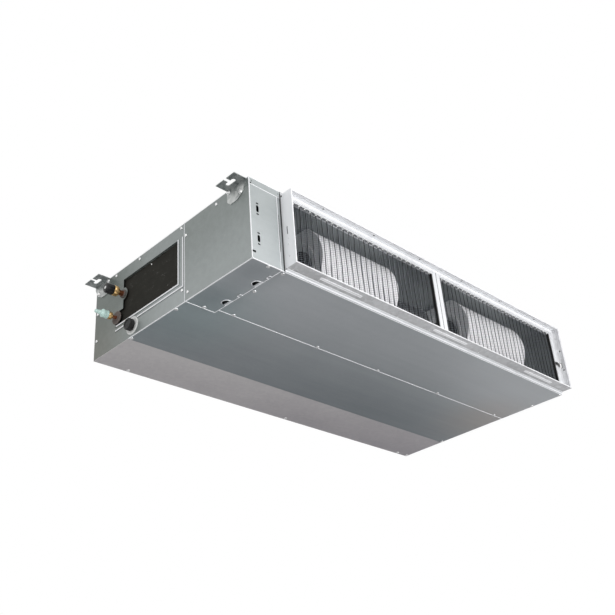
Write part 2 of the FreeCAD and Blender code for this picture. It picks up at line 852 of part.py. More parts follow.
def fan_wheel(middle_x):
    half = scroll_width / 2 - scroll_wall - inlet_depth - wheel_end_gap
    ring_bore = wheel_inner_radius - 1.0
    rings = [tube_x(-half, -half + wheel_ring, 0, 0, wheel_radius, ring_bore),
             tube_x(half - wheel_ring, half, 0, 0, wheel_radius, ring_bore)]
    disc = rod_x(-wheel_disc / 2, wheel_disc / 2, 0, 0, wheel_radius)
    hub = rod_x(-hub_length / 2, hub_length / 2, 0, 0, hub_radius)
    blades = []
    for i in range(blade_count):
        turned = blade(-half + wheel_ring / 2, half - wheel_ring / 2)
        turned.rotate(V(0, 0, 0), V(1, 0, 0), 360.0 * i / blade_count)
        blades.append(turned)
    wheel = fused(rings + [disc, hub] + blades).cut(rod_x(-half, half, 0, 0, shaft_radius))
    wheel.translate(V(middle_x, fan_axis_y, fan_axis_z))
    return wheel


def fan_shaft():
    reach = hub_length / 2 + 12.0
    return rod_x(left_fan_x - reach, right_fan_x + reach, fan_axis_y, fan_axis_z, shaft_radius)


def motor_housing():
    half = motor_length / 2
    end = half + boss_length
    corner = 8.0
    profile = [V(-end, 0, 0), V(-end, boss_radius, 0), V(-half, boss_radius, 0),
               V(-half, motor_radius - corner, 0),
               V(-half + corner, motor_radius, 0), V(half - corner, motor_radius, 0),
               V(half, motor_radius - corner, 0), V(half, boss_radius, 0),
               V(end, boss_radius, 0), V(end, 0, 0)]
    body = Part.Face(Part.makePolygon(profile + [profile[0]])).revolve(V(0, 0, 0), V(1, 0, 0), 360)
    body.translate(V(motor_x, fan_axis_y, fan_axis_z))
    bore = shaft_radius + running_clearance
    return body.cut(rod_x(motor_x - end - 1, motor_x + end + 1, fan_axis_y, fan_axis_z, bore))


def boss_stations():
    # Where the two rubber rings sit on the motor's end bosses
    half = motor_length / 2
    return [(motor_x - half - boss_length + 1, motor_x - half - 1),
            (motor_x + half + 1, motor_x + half + boss_length - 1)]


def motor_cushions():
    rings = [tube_x(x0, x1, fan_axis_y, fan_axis_z, boss_radius + cushion_wall, boss_radius)
             for x0, x1 in boss_stations()]
    return Part.makeCompound(rings)


def motor_bracket():
    saddle = boss_radius + cushion_wall
    base = box(motor_x - motor_length / 2 - boss_length, motor_x + motor_length / 2 + boss_length,
               fan_axis_y - cradle_half_width, deck_y, cradle_base_z, cradle_base_z + cradle_plate)
    foot = box(motor_x - motor_length / 2 - boss_length, motor_x + motor_length / 2 + boss_length,
               deck_y - cradle_plate, deck_y, cradle_base_z, cradle_base_z + cradle_foot)
    uprights = []
    for x0, x1 in boss_stations():
        middle = (x0 + x1) / 2
        plate = box(middle - cradle_plate / 2, middle + cradle_plate / 2, fan_axis_y - cradle_half_width,
                    fan_axis_y + cradle_half_width, cradle_base_z, fan_axis_z)
        uprights.append(plate.cut(rod_x(x0, x1, fan_axis_y, fan_axis_z, saddle)))
    return fused([base, foot] + uprights)


def motor_straps():
    straps = []
    saddle = boss_radius + cushion_wall
    for x0, x1 in boss_stations():
        band = tube_x(x0, x1, fan_axis_y, fan_axis_z, saddle + strap_sheet, saddle)
        foot_z = (fan_axis_z, fan_axis_z + strap_sheet)
        feet = [box(x0, x1, fan_axis_y - saddle - strap_foot, fan_axis_y - saddle, *foot_z),
                box(x0, x1, fan_axis_y + saddle, fan_axis_y + saddle + strap_foot, *foot_z)]
        strap = fused([band] + feet)
        straps.append(strap.common(box(x0 - 1, x1 + 1, 0, casing_depth, fan_axis_z, casing_height)))
    return Part.makeCompound(straps)


# Coil, drain pan and pipes

def tilt(shape):
    turned = shape.copy()
    turned.rotate(V(0, 0, 0), V(1, 0, 0), -coil_tilt)
    turned.translate(V(0, coil_foot_y, coil_foot_z))
    return turned


def coil_size():
    return coil_rows * row_pitch, coil_high * tube_pitch


def coil_ends():
    return coil_left_x, casing_length - coil_right_margin


def coil_fin_pack():
    deep, high = coil_size()
    x0, x1 = coil_ends()
    count = int((x1 - x0) / fin_groove_pitch)
    near = []
    far = []
    for i in range(count):
        x = x0 + (i + 0.5) * (x1 - x0) / count
        edges = (x - fin_groove_width / 2, x + fin_groove_width / 2)
        near += [V(edges[0], 0, 0), V(edges[0], fin_groove_depth, 0),
                 V(edges[1], fin_groove_depth, 0), V(edges[1], 0, 0)]
        far += [V(edges[0], deep, 0), V(edges[0], deep - fin_groove_depth, 0),
                V(edges[1], deep - fin_groove_depth, 0), V(edges[1], deep, 0)]
    outline = [V(x0, 0, 0)] + near + [V(x1, 0, 0), V(x1, deep, 0)] + list(reversed(far)) + [V(x0, deep, 0)]
    return tilt(prism(outline, V(0, 0, high)))


def coil_end_plate(x0):
    deep, high = coil_size()
    margin = end_plate_margin
    plate = tilt(box(x0, x0 + end_plate, -margin, deep + margin, -margin, high))
    foot_top = coil_foot_z + 12
    foot = box(x0, x0 + end_plate, pan_front_y, coil_foot_y + 12, pan_rim_z(), foot_top)
    return fused([plate, foot])


def pan_rim_z():
    return pan_base_z() + pan_height


def coil_end_plates():
    x0, x1 = coil_ends()
    return Part.makeCompound([coil_end_plate(x0 - end_plate), coil_end_plate(x1)])


def tube_station(row, step):
    return V(0, (row + 0.5) * row_pitch, (step + 0.5) * tube_pitch)


def mitred(points, section):
    # A section carried along straight runs, its corners cut on the slant
    path = Part.makePolygon(points)
    return path.makePipeShell([section], True, False, 1)


def return_bend(x, outward, row, step):
    # A hairpin that joins two neighbours of one row, drawn with six flats round it and three bends along it
    low = tube_station(row, step) + V(x, 0, 0)
    high = tube_station(row, step + 1) + V(x, 0, 0)
    reach = V(outward, 0, 0)
    corner = tube_pitch / 3.4
    points = [low, low + reach * tube_stub, low + reach * (tube_stub + corner) + V(0, 0, corner * 0.7),
              high + reach * (tube_stub + corner) - V(0, 0, corner * 0.7), high + reach * tube_stub, high]
    section = []
    for i in range(6):
        angle = math.radians(60.0 * i + 30.0)
        section.append(low + V(0, tube_radius * math.cos(angle), tube_radius * math.sin(angle)))
    return tilt(mitred(points, Part.makePolygon(section + [section[0]])))


def coil_return_bends():
    # Bends on both outer rows, but the last row's pipe end is left to the gas header's feeders
    x0, x1 = coil_ends()
    bends = []
    for step in range(1, coil_high - 2, 2):
        bends.append(return_bend(x0 - end_plate, -1, 0, step))
        bends.append(return_bend(x1 + end_plate, 1, 0, step))
        bends.append(return_bend(x1 + end_plate, 1, coil_rows - 1, step))
    return Part.makeCompound(bends)


def drain_pan():
    x0 = pan_left_x
    x1 = casing_length - pan_right_margin
    low = pan_base_z()
    rim = pan_rim_z()
    block = box(x0, x1, pan_front_y, pan_back_y, low, rim)
    hollow = prism([V(x0 + pan_wall, pan_front_y + pan_wall, low + pan_floor),
                    V(x1 - pan_wall, pan_front_y + pan_wall, low + pan_floor + pan_fall),
                    V(x1 - pan_wall, pan_front_y + pan_wall, rim + 1),
                    V(x0 + pan_wall, pan_front_y + pan_wall, rim + 1)],
                   V(0, pan_back_y - pan_front_y - 2 * pan_wall, 0))
    spigot_hole = rod_x(x0 - 1, x0 + pan_wall + 1, drain_y, drain_z, drain_radius + cap_clearance)
    rest_back = discharge_seam_y - seam_hem
    far_rest = x1 - pan_rest_inset - pan_rest_width
    rests = [box(x, x + pan_rest_width, pan_front_y, rest_back, sheet, low)
             for x in (x0 + pan_rest_inset, casing_length / 2, far_rest)]
    return fused([block.cut(hollow).cut(spigot_hole)] + rests)


def drain_spigot():
    x0 = -drain_reach
    inner_end = pan_left_x + pan_wall
    tube = rod_x(x0, inner_end, drain_y, drain_z, drain_radius)
    plate = rod_x(-drain_plate, 0, drain_y, drain_z, drain_plate_radius)
    collar = rod_x(pan_left_x - 3, pan_left_x, drain_y, drain_z, drain_radius + 5)
    return fused([tube, plate, collar]).cut(rod_x(x0 - 1, inner_end + 1, drain_y, drain_z, drain_bore))


def drain_cap():
    end = -drain_reach - drain_cap_wall
    start = -drain_plate - sheet
    radius = drain_radius + drain_cap_wall
    body = rod_x(end, start, drain_y, drain_z, radius)
    lobes = []
    for i in range(drain_cap_lobes):
        angle = math.radians(360.0 * i / drain_cap_lobes)
        lobe = box(end, start - 4, drain_y + radius - 2, drain_y + radius + drain_cap_lobe,
                   drain_z - 3.5, drain_z + 3.5)
        lobe.rotate(V(0, drain_y, drain_z), V(1, 0, 0), math.degrees(angle))
        lobes.append(lobe)
    bore = rod_x(-drain_reach - cap_clearance, 0, drain_y, drain_z, drain_radius + cap_clearance)
    return fused([body] + lobes).cut(bore)


def bent_tube(points, radius, bend):
    # A round pipe whose corners are each turned in two steps
    runs = [points[0]]
    for i in range(1, len(points) - 1):
        into = (points[i] - points[i - 1]).normalize()
        out = (points[i + 1] - points[i]).normalize()
        turn = into.getAngle(out)
        back = bend * math.tan(turn / 2)
        runs += [points[i] - into * back, points[i] + out * back]
    runs.append(points[-1])
    direction = (points[1] - points[0]).normalize()
    return mitred(runs, Part.Wire(Part.makeCircle(radius, points[0], direction)))


def end_station(row, step, x):
    # A tube end on the coil's end plate, at the given x
    return tilt(Part.Vertex(tube_station(row, step) + V(x, 0, 0))).Point


def gas_header():
    # The header stands in line with the coil's last row, and its feeders run straight into the end plate
    x = (pan_left_x + coil_left_x) / 2
    plate_x = coil_left_x - end_plate
    row = coil_rows - 1
    low = end_station(row, 0, x)
    top = end_station(row, coil_high - 1, x)
    along = (top - low).normalize()
    stand_out = tube_radius + 3.0
    length = (top - low).Length + 2 * stand_out
    header = Part.makeCylinder(header_radius, length, low - along * stand_out, along)
    feeders = []
    for step in range(0, coil_high, 3):
        station = end_station(row, step, x)
        feeders.append(rod_x(x, plate_x, station.y, station.z, tube_radius))
    middle = (low + top) * 0.5
    pipe = bent_tube([V(fitting_end(), gas_y, gas_z), V(x, gas_y, gas_z), middle], gas_radius, 20.0)
    return fused([pipe, header] + feeders)


def fitting_end():
    return -fitting_reach


def liquid_header():
    # The liquid pipe runs in front of the gas header to a tube of the middle row
    x = pan_left_x + pan_wall + 10.0
    station = end_station(1, 2, x)
    plate_x = coil_left_x - end_plate
    return bent_tube([V(fitting_end(), liquid_y, liquid_z), V(x, liquid_y, liquid_z), station,
                      V(plate_x, station.y, station.z)], liquid_radius, 14.0)


def flare_fitting(y, z, across, nut_length, thread_radius, thread_length):
    end = fitting_end()
    nut = hexagon(V(end, y, z), across, nut_length, V(-1, 0, 0))
    thread = rod_x(end - nut_length - thread_length, end - nut_length, y, z, thread_radius)
    return fused([nut, thread])


def gas_fitting():
    return flare_fitting(gas_y, gas_z, gas_nut_across, gas_nut_length, gas_thread_radius, gas_thread_length)


def liquid_fitting():
    return flare_fitting(liquid_y, liquid_z, liquid_nut_across, liquid_nut_length,
                         liquid_thread_radius, liquid_thread_length)


def gas_cap():
    start = fitting_end() - gas_nut_length - cap_clearance
    end = start - gas_thread_length - cap_wall
    body = rod_x(end + 3, start, gas_y, gas_z, gas_cap_radius)
    crown = Part.makeCone(gas_cap_radius, gas_cap_radius - 4, 3, V(end + 3, gas_y, gas_z), V(-1, 0, 0))
    bore = rod_x(start - gas_thread_length, start + 1, gas_y, gas_z, gas_thread_radius + cap_clearance)
    return fused([body, crown]).cut(bore)


def liquid_cap():
    start = fitting_end() - liquid_nut_length - cap_clearance
    wide_end = start - liquid_thread_length - 2 * cap_wall
    body = rod_x(wide_end, start, liquid_y, liquid_z, liquid_cap_radius)
    neck = liquid_cap_tip_radius + 1.0
    step = liquid_cap_shoulder
    shoulder = Part.makeCone(liquid_cap_radius, neck, step, V(wide_end, liquid_y, liquid_z), V(-1, 0, 0))
    tip = Part.makeCone(neck, liquid_cap_tip_radius, liquid_cap_tip - step,
                        V(wide_end - step, liquid_y, liquid_z), V(-1, 0, 0))
    bore = rod_x(start - liquid_thread_length, start + 1, liquid_y, liquid_z,
                 liquid_thread_radius + cap_clearance)
    return fused([body, shoulder, tip]).cut(bore)


def gas_grommet():
    return tube_x(-grommet_thickness, 0, gas_y, gas_z, gas_grommet_radius, gas_radius + cap_clearance)


def liquid_grommet():
    return tube_x(-grommet_thickness, 0, liquid_y, liquid_z,
                  liquid_grommet_radius, liquid_radius + cap_clearance)


def window_foam_panel():
    x0 = sheet + window_rim
    margin = 8.0
    slab = box(x0, x0 + foam_thickness, window_front_y - margin, window_notch_y + margin,
               window_low_z - margin, window_high_z + margin)
    holes = [rod_x(0, 40, gas_y, gas_z, gas_radius + cap_clearance),
             rod_x(0, 40, liquid_y, liquid_z, liquid_radius + cap_clearance)]
    return cut_all(slab, holes)


def ceiling_insulation():
    roof = casing_height - sheet
    return box(flange_width + sheet, casing_length - flange_width - sheet, pan_front_y - lining_gap,
               casing_depth - lining_gap, roof - lining, roof)


def discharge_insulation():
    return box(flange_width + sheet, casing_length - flange_width - sheet, pan_back_y + lining_pan_gap,
               casing_depth - lining_gap, sheet, sheet + lining)


# Hanger brackets

def hanger_bracket():
    # The bracket at the pipe end of the return side; the other three are its mirror images
    y0 = hanger_front_offset - hanger_ear_width / 2
    y1 = hanger_front_offset + hanger_ear_width / 2
    top = casing_height
    under = top - hanger_plate
    low = top - hanger_flange_height
    corner = hanger_flange_corner
    ear = box(-hanger_ear_reach, 0, y0, y1, under, top)
    outline = [(y0, under), (y1, under), (y1, low + corner / 2), (y1 - corner / 2, low),
               (y0 + 1.5 * corner, low),
               (y0 + 0.6 * corner, low + 0.5 * corner), (y0, low + 1.6 * corner)]
    flange = prism([V(-hanger_plate, y, z) for y, z in outline], V(hanger_plate, 0, 0))
    slot = slot_z(-hanger_reach, hanger_front_offset, hanger_slot_width, hanger_slot_length,
                  under - 1, top + 1)
    entry = box(-hanger_ear_reach - 1, -hanger_reach, hanger_front_offset - hanger_slot_width / 2 + 1,
                hanger_front_offset + hanger_slot_width / 2 - 1, under - 1, top + 1)
    return fused([ear, flange]).cut(slot).cut(entry)


# Control parts

def board_face():
    return control_box_length - sheet - board_standoff - board_thickness


def board_block(y_share, z_share, long_share, high_share, reach_share):
    # A component on the board, placed and sized by shares of the board
    y = board_front + y_share * board_length
    z = board_low_z + z_share * board_height
    face = board_face()
    return box(face - reach_share * board_reach, face,
               y, y + long_share * board_length, z, z + high_share * board_height)


def control_board():
    wall = control_box_length - sheet
    face = board_face()
    back = board_front + board_length
    high = board_low_z + board_height
    board = box(face, face + board_thickness, board_front, back, board_low_z, high)
    half = board_post / 2
    posts = []
    for y in (board_front + board_post, back - board_post):
        for z in (board_low_z + board_post, high - board_post):
            posts.append(box(face + board_thickness, wall, y - half, y + half, z - half, z + half))
    parts = [board_block(0.125, 0.57, 0.25, 0.285, 0.79), board_block(0.5, 0.64, 0.375, 0.16, 0.5),
             board_block(0.42, 0.19, 0.1, 0.115, 0.71), board_block(0.625, 0.14, 0.31, 0.086, 0.32),
             rod_x(face - board_reach, face,
                   board_front + 0.25 * board_length, board_low_z + 0.25 * board_height,
                   0.07 * board_length)]
    return fused([board] + posts + parts)


def terminal_block():
    wall = control_box_depth - sheet
    front = wall - terminal_depth
    right = terminal_left_x + terminal_length
    base = box(terminal_left_x, right, front, wall, terminal_low_z, terminal_low_z + terminal_height)
    ribs = []
    for i in range(1, int(terminal_length / terminal_pitch)):
        x = terminal_left_x + i * terminal_pitch - terminal_rib / 2
        ribs.append(box(x, x + terminal_rib, front - terminal_rib_reach, front,
                        terminal_low_z + terminal_rib, terminal_low_z + terminal_height - terminal_rib))
    return fused([base] + ribs)


# Fasteners

def along(shares, length):
    return [share * length for share in shares]


def bottom_screws():
    seam_y = discharge_seam_y - edge_margin + sheet
    deck_row_y = deck_y - flange_width / 2 - 6
    back_y = casing_depth - edge_margin
    right_x = casing_length - edge_margin + 2
    box_edge_x = control_box_length + collar_gap
    spots = [(x, deck_row_y) for x in along((0.105, 0.3335, 0.522, 0.7335, 0.962), casing_length)]
    spots += [(x, back_y) for x in along((0.081, 0.537, 0.957), casing_length)]
    spots += [(control_box_length * 0.54, control_box_depth - edge_margin), (control_box_length * 0.54, 7)]
    spots += [(6, window_front_y + 15), (6, seam_y), (box_edge_x, fan_panel_depth / 2 - 7), (box_edge_x, 10)]
    spots += [(right_x, y) for y in (7, fan_panel_depth / 2 - 8, seam_y, back_y)]
    return Part.makeCompound([hexagon(V(x, y, 0), screw_across, screw_height, V(0, 0, -1)) for x, y in spots])


def end_screws():
    high = casing_height - edge_margin - 1
    back_y = casing_depth - 12
    seam_x = control_box_depth + 14
    back_column = [(back_y, share * casing_height) for share in (0.24, 0.6)]
    roof_row = [(y, high) for y in [seam_x] + along((0.683, 0.8515), casing_depth)]
    left = [(deck_y / 2, high - 5), (deck_y, high - 34),
            (control_box_depth + 12, 40), (control_box_depth - 12, 24)]
    right = [(12, 60), (deck_y / 2, high), (control_box_depth + 12, 12), (discharge_seam_y - 6, 12)]
    heads = [hexagon(V(0, y, z), screw_across, screw_height, V(-1, 0, 0))
             for y, z in left + roof_row + back_column]
    heads += [hexagon(V(casing_length, y, z), screw_across, screw_height, V(1, 0, 0))
              for y, z in right + roof_row + back_column]
    return Part.makeCompound(heads)


def bracket_bolts():
    half_ear = hanger_ear_width / 2
    near_y = hanger_front_offset - half_ear + 0.85 * hanger_flange_corner
    far_y = hanger_front_offset + half_ear - bolt_edge
    spots = [(near_y, casing_height - 0.64 * hanger_flange_height),
             (far_y, casing_height - hanger_plate - bolt_edge)]
    pair = [hexagon(V(-hanger_plate, y, z), bolt_across, bolt_height, V(-1, 0, 0)) for y, z in spots]
    left = pair + [mirror_air(bolt) for bolt in pair]
    return Part.makeCompound(left + [mirror_ends(bolt) for bolt in left])


def main():
    os.makedirs("parts", exist_ok=True)
    save("top_panel", top_panel())
    save("pipe_end_panel", pipe_end_panel())
    save("right_end_panel", right_end_panel())
    save("control_box_shell", control_box_shell())
    save("control_box_front_cover", control_box_front_cover())
    save("control_box_bottom_cover", control_box_bottom_cover())
    save("fan_section_bottom_panel", fan_section_bottom_panel())
    save("drain_pan_cover", drain_pan_cover())
    save("discharge_bottom_panel", discharge_bottom_panel())
    save("return_frame", return_frame())
    save("return_collar", return_collar())
    save("filter_rail_bottom", filter_rail(collar_lift + collar_sheet, 1))
    save("filter_rail_top", filter_rail(collar_top_z - collar_sheet, -1))
    for side, (x0, x1, stile) in filter_spans().items():
        save(side + "_filter_frame", filter_frame(x0, x1, stile))
        save(side + "_filter_mesh", filter_mesh(x0, x1, stile))
    save("filter_pull_strap", filter_pull_strap())
    save("fan_deck", fan_deck())
    save("discharge_frame", discharge_frame())
    save("discharge_flange", discharge_flange())
    for side, x in (("left", left_fan_x), ("right", right_fan_x)):
        upper, lower = scroll_halves(x)
        save(side + "_scroll_upper", upper)
        save(side + "_scroll_lower", lower)
        save(side + "_fan_inlet_rings", inlet_rings(x))
        save(side + "_fan_wheel", fan_wheel(x))
    save("fan_shaft", fan_shaft())
    save("motor_housing", motor_housing())
    save("motor_cushions", motor_cushions())
    save("motor_bracket", motor_bracket())
    save("motor_straps", motor_straps())
    save("coil_fin_pack", coil_fin_pack())
    save("coil_end_plates", coil_end_plates())
    save("coil_return_bends", coil_return_bends())
    save("gas_header", gas_header())
    save("liquid_header", liquid_header())
    save("gas_fitting", gas_fitting())
    save("gas_cap", gas_cap())
    save("gas_grommet", gas_grommet())
    save("liquid_fitting", liquid_fitting())
    save("liquid_cap", liquid_cap())
    save("liquid_grommet", liquid_grommet())
    save("drain_pan", drain_pan())
    save("drain_spigot", drain_spigot())
    save("drain_cap", drain_cap())
    save("window_foam_panel", window_foam_panel())
    save("ceiling_insulation", ceiling_insulation())
    save("discharge_insulation", discharge_insulation())
    near_left = hanger_bracket()
    save("hanger_bracket_return_left", near_left)
    save("hanger_bracket_discharge_left", mirror_air(near_left))
    save("hanger_bracket_return_right", mirror_ends(near_left))
    save("hanger_bracket_discharge_right", mirror_ends(mirror_air(near_left)))
    save("control_board", control_board())
    save("terminal_block", terminal_block())
    save("bottom_screws", bottom_screws())
    save("end_screws", end_screws())
    save("bracket_bolts", bracket_bolts())


main()
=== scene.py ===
"""Finishes and fine pieces of a ceiling concealed ducted indoor unit, built round its solid model.

Every size is in millimetres in casing coordinates: x runs along the casing from the pipe end,
y runs with the air from the return face, z runs up from the underside.
"""

import json
import math

import bmesh
import bpy
import numpy as np
from bpy.props import FloatProperty, FloatVectorProperty, IntProperty, PointerProperty
from mathutils import Matrix, Vector


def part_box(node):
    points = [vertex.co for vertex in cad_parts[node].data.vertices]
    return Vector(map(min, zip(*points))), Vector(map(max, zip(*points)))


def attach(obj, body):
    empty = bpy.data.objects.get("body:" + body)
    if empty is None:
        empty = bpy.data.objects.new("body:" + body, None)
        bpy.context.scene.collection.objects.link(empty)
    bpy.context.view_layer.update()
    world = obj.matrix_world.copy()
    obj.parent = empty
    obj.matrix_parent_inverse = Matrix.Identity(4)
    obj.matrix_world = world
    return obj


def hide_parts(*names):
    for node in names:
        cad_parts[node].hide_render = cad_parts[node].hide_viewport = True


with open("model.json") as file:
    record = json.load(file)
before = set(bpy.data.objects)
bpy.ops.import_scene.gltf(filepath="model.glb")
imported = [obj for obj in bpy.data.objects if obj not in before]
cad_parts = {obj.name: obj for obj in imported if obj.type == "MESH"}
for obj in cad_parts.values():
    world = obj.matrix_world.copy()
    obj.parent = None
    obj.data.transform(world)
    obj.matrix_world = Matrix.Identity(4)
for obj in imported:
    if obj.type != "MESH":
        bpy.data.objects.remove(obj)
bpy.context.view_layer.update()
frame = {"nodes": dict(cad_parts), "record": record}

bl_info = {
    "name": "Ducted indoor unit",
    "version": (1, 0, 0),
    "blender": (4, 5, 0),
    "location": "3D View > Sidebar > Unit",
    "description": "Builds the finishes and fine pieces of a ceiling concealed ducted indoor unit",
    "category": "Add Mesh",
}

# The casing's own size, and the model's origin in casing coordinates
LENGTH, DEPTH, HEIGHT = 1400.0, 700.0, 250.0
ORIGIN = np.array([LENGTH / 2, 357.5, HEIGHT])

X = np.array([1.0, 0.0, 0.0])
Y = np.array([0.0, 1.0, 0.0])
Z = np.array([0.0, 0.0, 1.0])

# Edges turned by more than this stay sharp
SHARP = math.radians(38.0)

# Every material by its slot's name
FINISHES = {}


def metres(points):
    """Casing millimetres to the model's metres: less the origin, over a thousand."""
    return (np.asarray(points, float) - ORIGIN) / 1000.0


def extent(node):
    """Lowest and highest corner of a solid in casing millimetres."""
    low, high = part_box(node)
    return np.array(low) * 1000.0 + ORIGIN, np.array(high) * 1000.0 + ORIGIN


def middle_of(node):
    """Middle of a solid in casing millimetres."""
    low, high = extent(node)
    return (low + high) / 2


def islands(node):
    """Lowest and highest corner of each separate solid of a node, in casing millimetres."""
    work = bmesh.new()
    work.from_mesh(frame["nodes"][node].data)
    bmesh.ops.remove_doubles(work, verts=work.verts, dist=1e-6)
    left = set(work.verts)
    found = []
    while left:
        front = [left.pop()]
        whole = list(front)
        while front:
            near = {edge.other_vert(v) for v in front for edge in v.link_edges} & left
            left -= near
            front = list(near)
            whole += front
        points = np.array([v.co for v in whole]) * 1000.0 + ORIGIN
        found.append((points.min(0), points.max(0)))
    work.free()
    return sorted(found, key=lambda pair: tuple(np.round(pair[0], 2)))


# Surfaces as grids of points

def grid(x, y, z):
    """Points from their coordinates, each an array or a single value."""
    return np.stack(np.broadcast_arrays(x, y, z), axis=-1).astype(float)


def quads(rows, cols, around=False, along=False):
    """Corners of each cell of a grid: (i, j), (i, j+1), (i+1, j+1), (i+1, j), wrapped where it closes."""
    i = np.arange(rows if along else rows - 1)[:, None]
    j = np.arange(cols if around else cols - 1)[None, :]
    i, j = np.broadcast_arrays(i, j)
    down = (i + 1) % rows
    right = (j + 1) % cols
    cells = np.stack([i * cols + j, i * cols + right, down * cols + right, down * cols + j], axis=-1)
    return cells.reshape(-1, 4)


def sheets(points, around=False, along=False):
    """Many grids at once, as (copies, rows, cols, 3): one set of cells, shifted for each copy."""
    copies, rows, cols = points.shape[:3]
    cells = quads(rows, cols, around, along)
    shift = np.arange(copies)[:, None, None] * rows * cols
    return points.reshape(-1, 3), (cells[None] + shift).reshape(-1, 4)


def shut(rows):
    """Rows of closed outlines, as (..., rows, cols, 3), with both end rows drawn in to their middles."""
    ends = [np.broadcast_to(end.mean(axis=-2, keepdims=True), end.shape)
            for end in (rows[..., :1, :, :], rows[..., -1:, :, :])]
    return np.concatenate([ends[0], rows, ends[1]], axis=-3)


def round_turn(count):
    """Even angles round a whole turn."""
    return np.linspace(0.0, 2 * np.pi, count, endpoint=False)


def unit(rows):
    """Rows of vectors, each over its own length."""
    return rows / np.linalg.norm(rows, axis=-1, keepdims=True)


def turned(profile, centre, axis, sides, ripple=None, loop=False):
    """(along, radius) pairs turned round an axis: centre + along * axis + radius * (cos a * Y + sin a * up),
    where up is square to both. A ripple of (along, a) multiplies the radius, and a loop joins the last pair
    to the first."""
    a = round_turn(sides)[None, :, None]
    along, radius = np.asarray(profile, float).T[:, :, None, None]
    if ripple is not None:
        radius = radius * ripple(along, a)
    circle = np.cos(a) * Y + np.sin(a) * np.cross(axis, Y)
    points = np.asarray(centre, float) + along * axis + radius * circle
    return sheets(points[None], around=True, along=loop)


def ring(profile, centre, sides):
    """A closed loop of (along, radius) pairs turned round x."""
    return turned(profile, centre, X, sides, loop=True)


def carried(outline, path, up, loop=False):
    """An outline of (across, up) pairs carried along a path: each point is path + across * side * stretch +
    up, where side is square to the run and stretch keeps the width through a corner."""
    outline = np.asarray(outline, float)
    path = np.asarray(path, float)
    run = unit((np.roll(path, -1, axis=0) - path) if loop else np.diff(path, axis=0))
    ahead = run if loop else np.vstack([run, run[-1:]])
    behind = np.roll(run, 1, axis=0) if loop else np.vstack([run[:1], run])
    heading = unit(ahead + behind)
    stretch = 1.0 / np.clip((heading * ahead).sum(axis=1), 0.3, 1.0)
    side = unit(np.cross(heading, up)) * stretch[:, None]
    points = path[:, None, :] + outline[None, :, :1] * side[:, None, :] + outline[None, :, 1:] * up
    if loop:
        return sheets(points[None], around=True, along=True)
    return sheets(shut(points)[None], around=True)


def wires(paths, radius, sides, first, second):
    """Round wires on (copies, points, 3) paths: path + radius * (cos a * first + sin a * second)."""
    a = round_turn(sides) + np.pi / 4
    circle = radius * (np.cos(a)[:, None] * first + np.sin(a)[:, None] * second)
    return sheets(shut(np.asarray(paths, float)[:, :, None, :] + circle), around=True)


def circle_outline(radius, sides):
    """A round outline: (radius cos a, radius sin a)."""
    a = round_turn(sides)
    return np.stack([radius * np.cos(a), radius * np.sin(a)], axis=1)


def tube(path, radius, sides):
    """A round pipe on a smooth path: a circle carried along it, its frame turned as little as it can be."""
    path = np.asarray(path, float)
    heading = unit(np.gradient(path, axis=0))
    normal = np.cross(heading[0], Z if abs(heading[0][2]) < 0.9 else Y)
    normals = []
    for direction in heading:
        normal = unit(normal - direction * normal.dot(direction))
        normals.append(normal)
    first = np.array(normals)
    second = np.cross(heading, first)
    a = round_turn(sides)[None, :, None]
    rows = path[:, None, :] + radius * (np.cos(a) * first[:, None, :] + np.sin(a) * second[:, None, :])
    return sheets(shut(rows)[None], around=True)


def bent(points, bend):
    """A path of straight runs with each corner turned on an arc of one radius:
    centre + (start - centre) cos t + heading * radius sin t."""
    points = [np.asarray(p, float) for p in points]
    path = [points[0][None]]
    for before, corner, after in zip(points, points[1:], points[2:]):
        into = unit(corner - before)
        out = unit(after - corner)
        turn = math.acos(float(np.clip(into.dot(out), -1, 1)))
        start = corner - into * bend * math.tan(turn / 2)
        inward = unit(out - into * into.dot(out))
        t = np.linspace(0.0, turn, 12)[:, None]
        path.append(start + inward * bend * (1 - np.cos(t)) + into * bend * np.sin(t))
    path.append(points[-1][None])
    return np.vstack(path)


def bars(low, high, bevel, axis=0):
    """Bevelled blocks, as (copies, 3) corners: an eight-cornered outline carried through four rows along an
    axis, the outer two drawn in by the bevel, and shut at both ends."""
    low = np.atleast_2d(np.asarray(low, float))
    high = np.atleast_2d(np.asarray(high, float))
    middle = (low + high) / 2
    half = (high - low) / 2
    order = [axis, (axis + 1) % 3, (axis + 2) % 3]
    corners = np.array([(-1, -1, 1, 0), (1, -1, 1, 0), (1, -1, 0, 1), (1, 1, 0, 1),
                        (1, 1, 1, 0), (-1, 1, 1, 0), (-1, 1, 0, 1), (-1, -1, 0, 1)], float)
    levels = np.array([(-1, 0, 1), (-1, 1, 0), (1, 1, 0), (1, 0, 1)], float)
    points = np.zeros((len(low), 4, 8, 3))
    a = levels[None, :, 0] * (half[:, None, order[0]] - levels[None, :, 1] * bevel)
    points[..., order[0]] = a[:, :, None]
    for place, sign, cut in ((1, 0, 2), (2, 1, 3)):
        inset = (corners[None, None, :, cut] + levels[None, :, None, 2]) * bevel
        reach = np.maximum(half[:, None, None, order[place]] - inset, 0.0)
        points[..., order[place]] = corners[None, None, :, sign] * reach
    return sheets(shut(points + middle[:, None, None, :]), around=True)


def rectangle(low, high, inset, y):
    """The four corners of an upright rectangle at one y, drawn in by an inset."""
    left, right = low[0] + inset, high[0] - inset
    bottom, top = low[2] + inset, high[2] - inset
    return grid((left, right, right, left), y, (bottom, bottom, top, top))


def half_round(width, height):
    """A low bead's outline: an arch of the given width and height over a thin foot."""
    a = np.linspace(0.0, np.pi, 7)
    arch = np.stack([np.cos(a) * width / 2, np.sin(a) * height], axis=1)
    foot = np.array([[-width / 2, -0.05], [width / 2, -0.05]])
    return np.vstack([arch, foot])


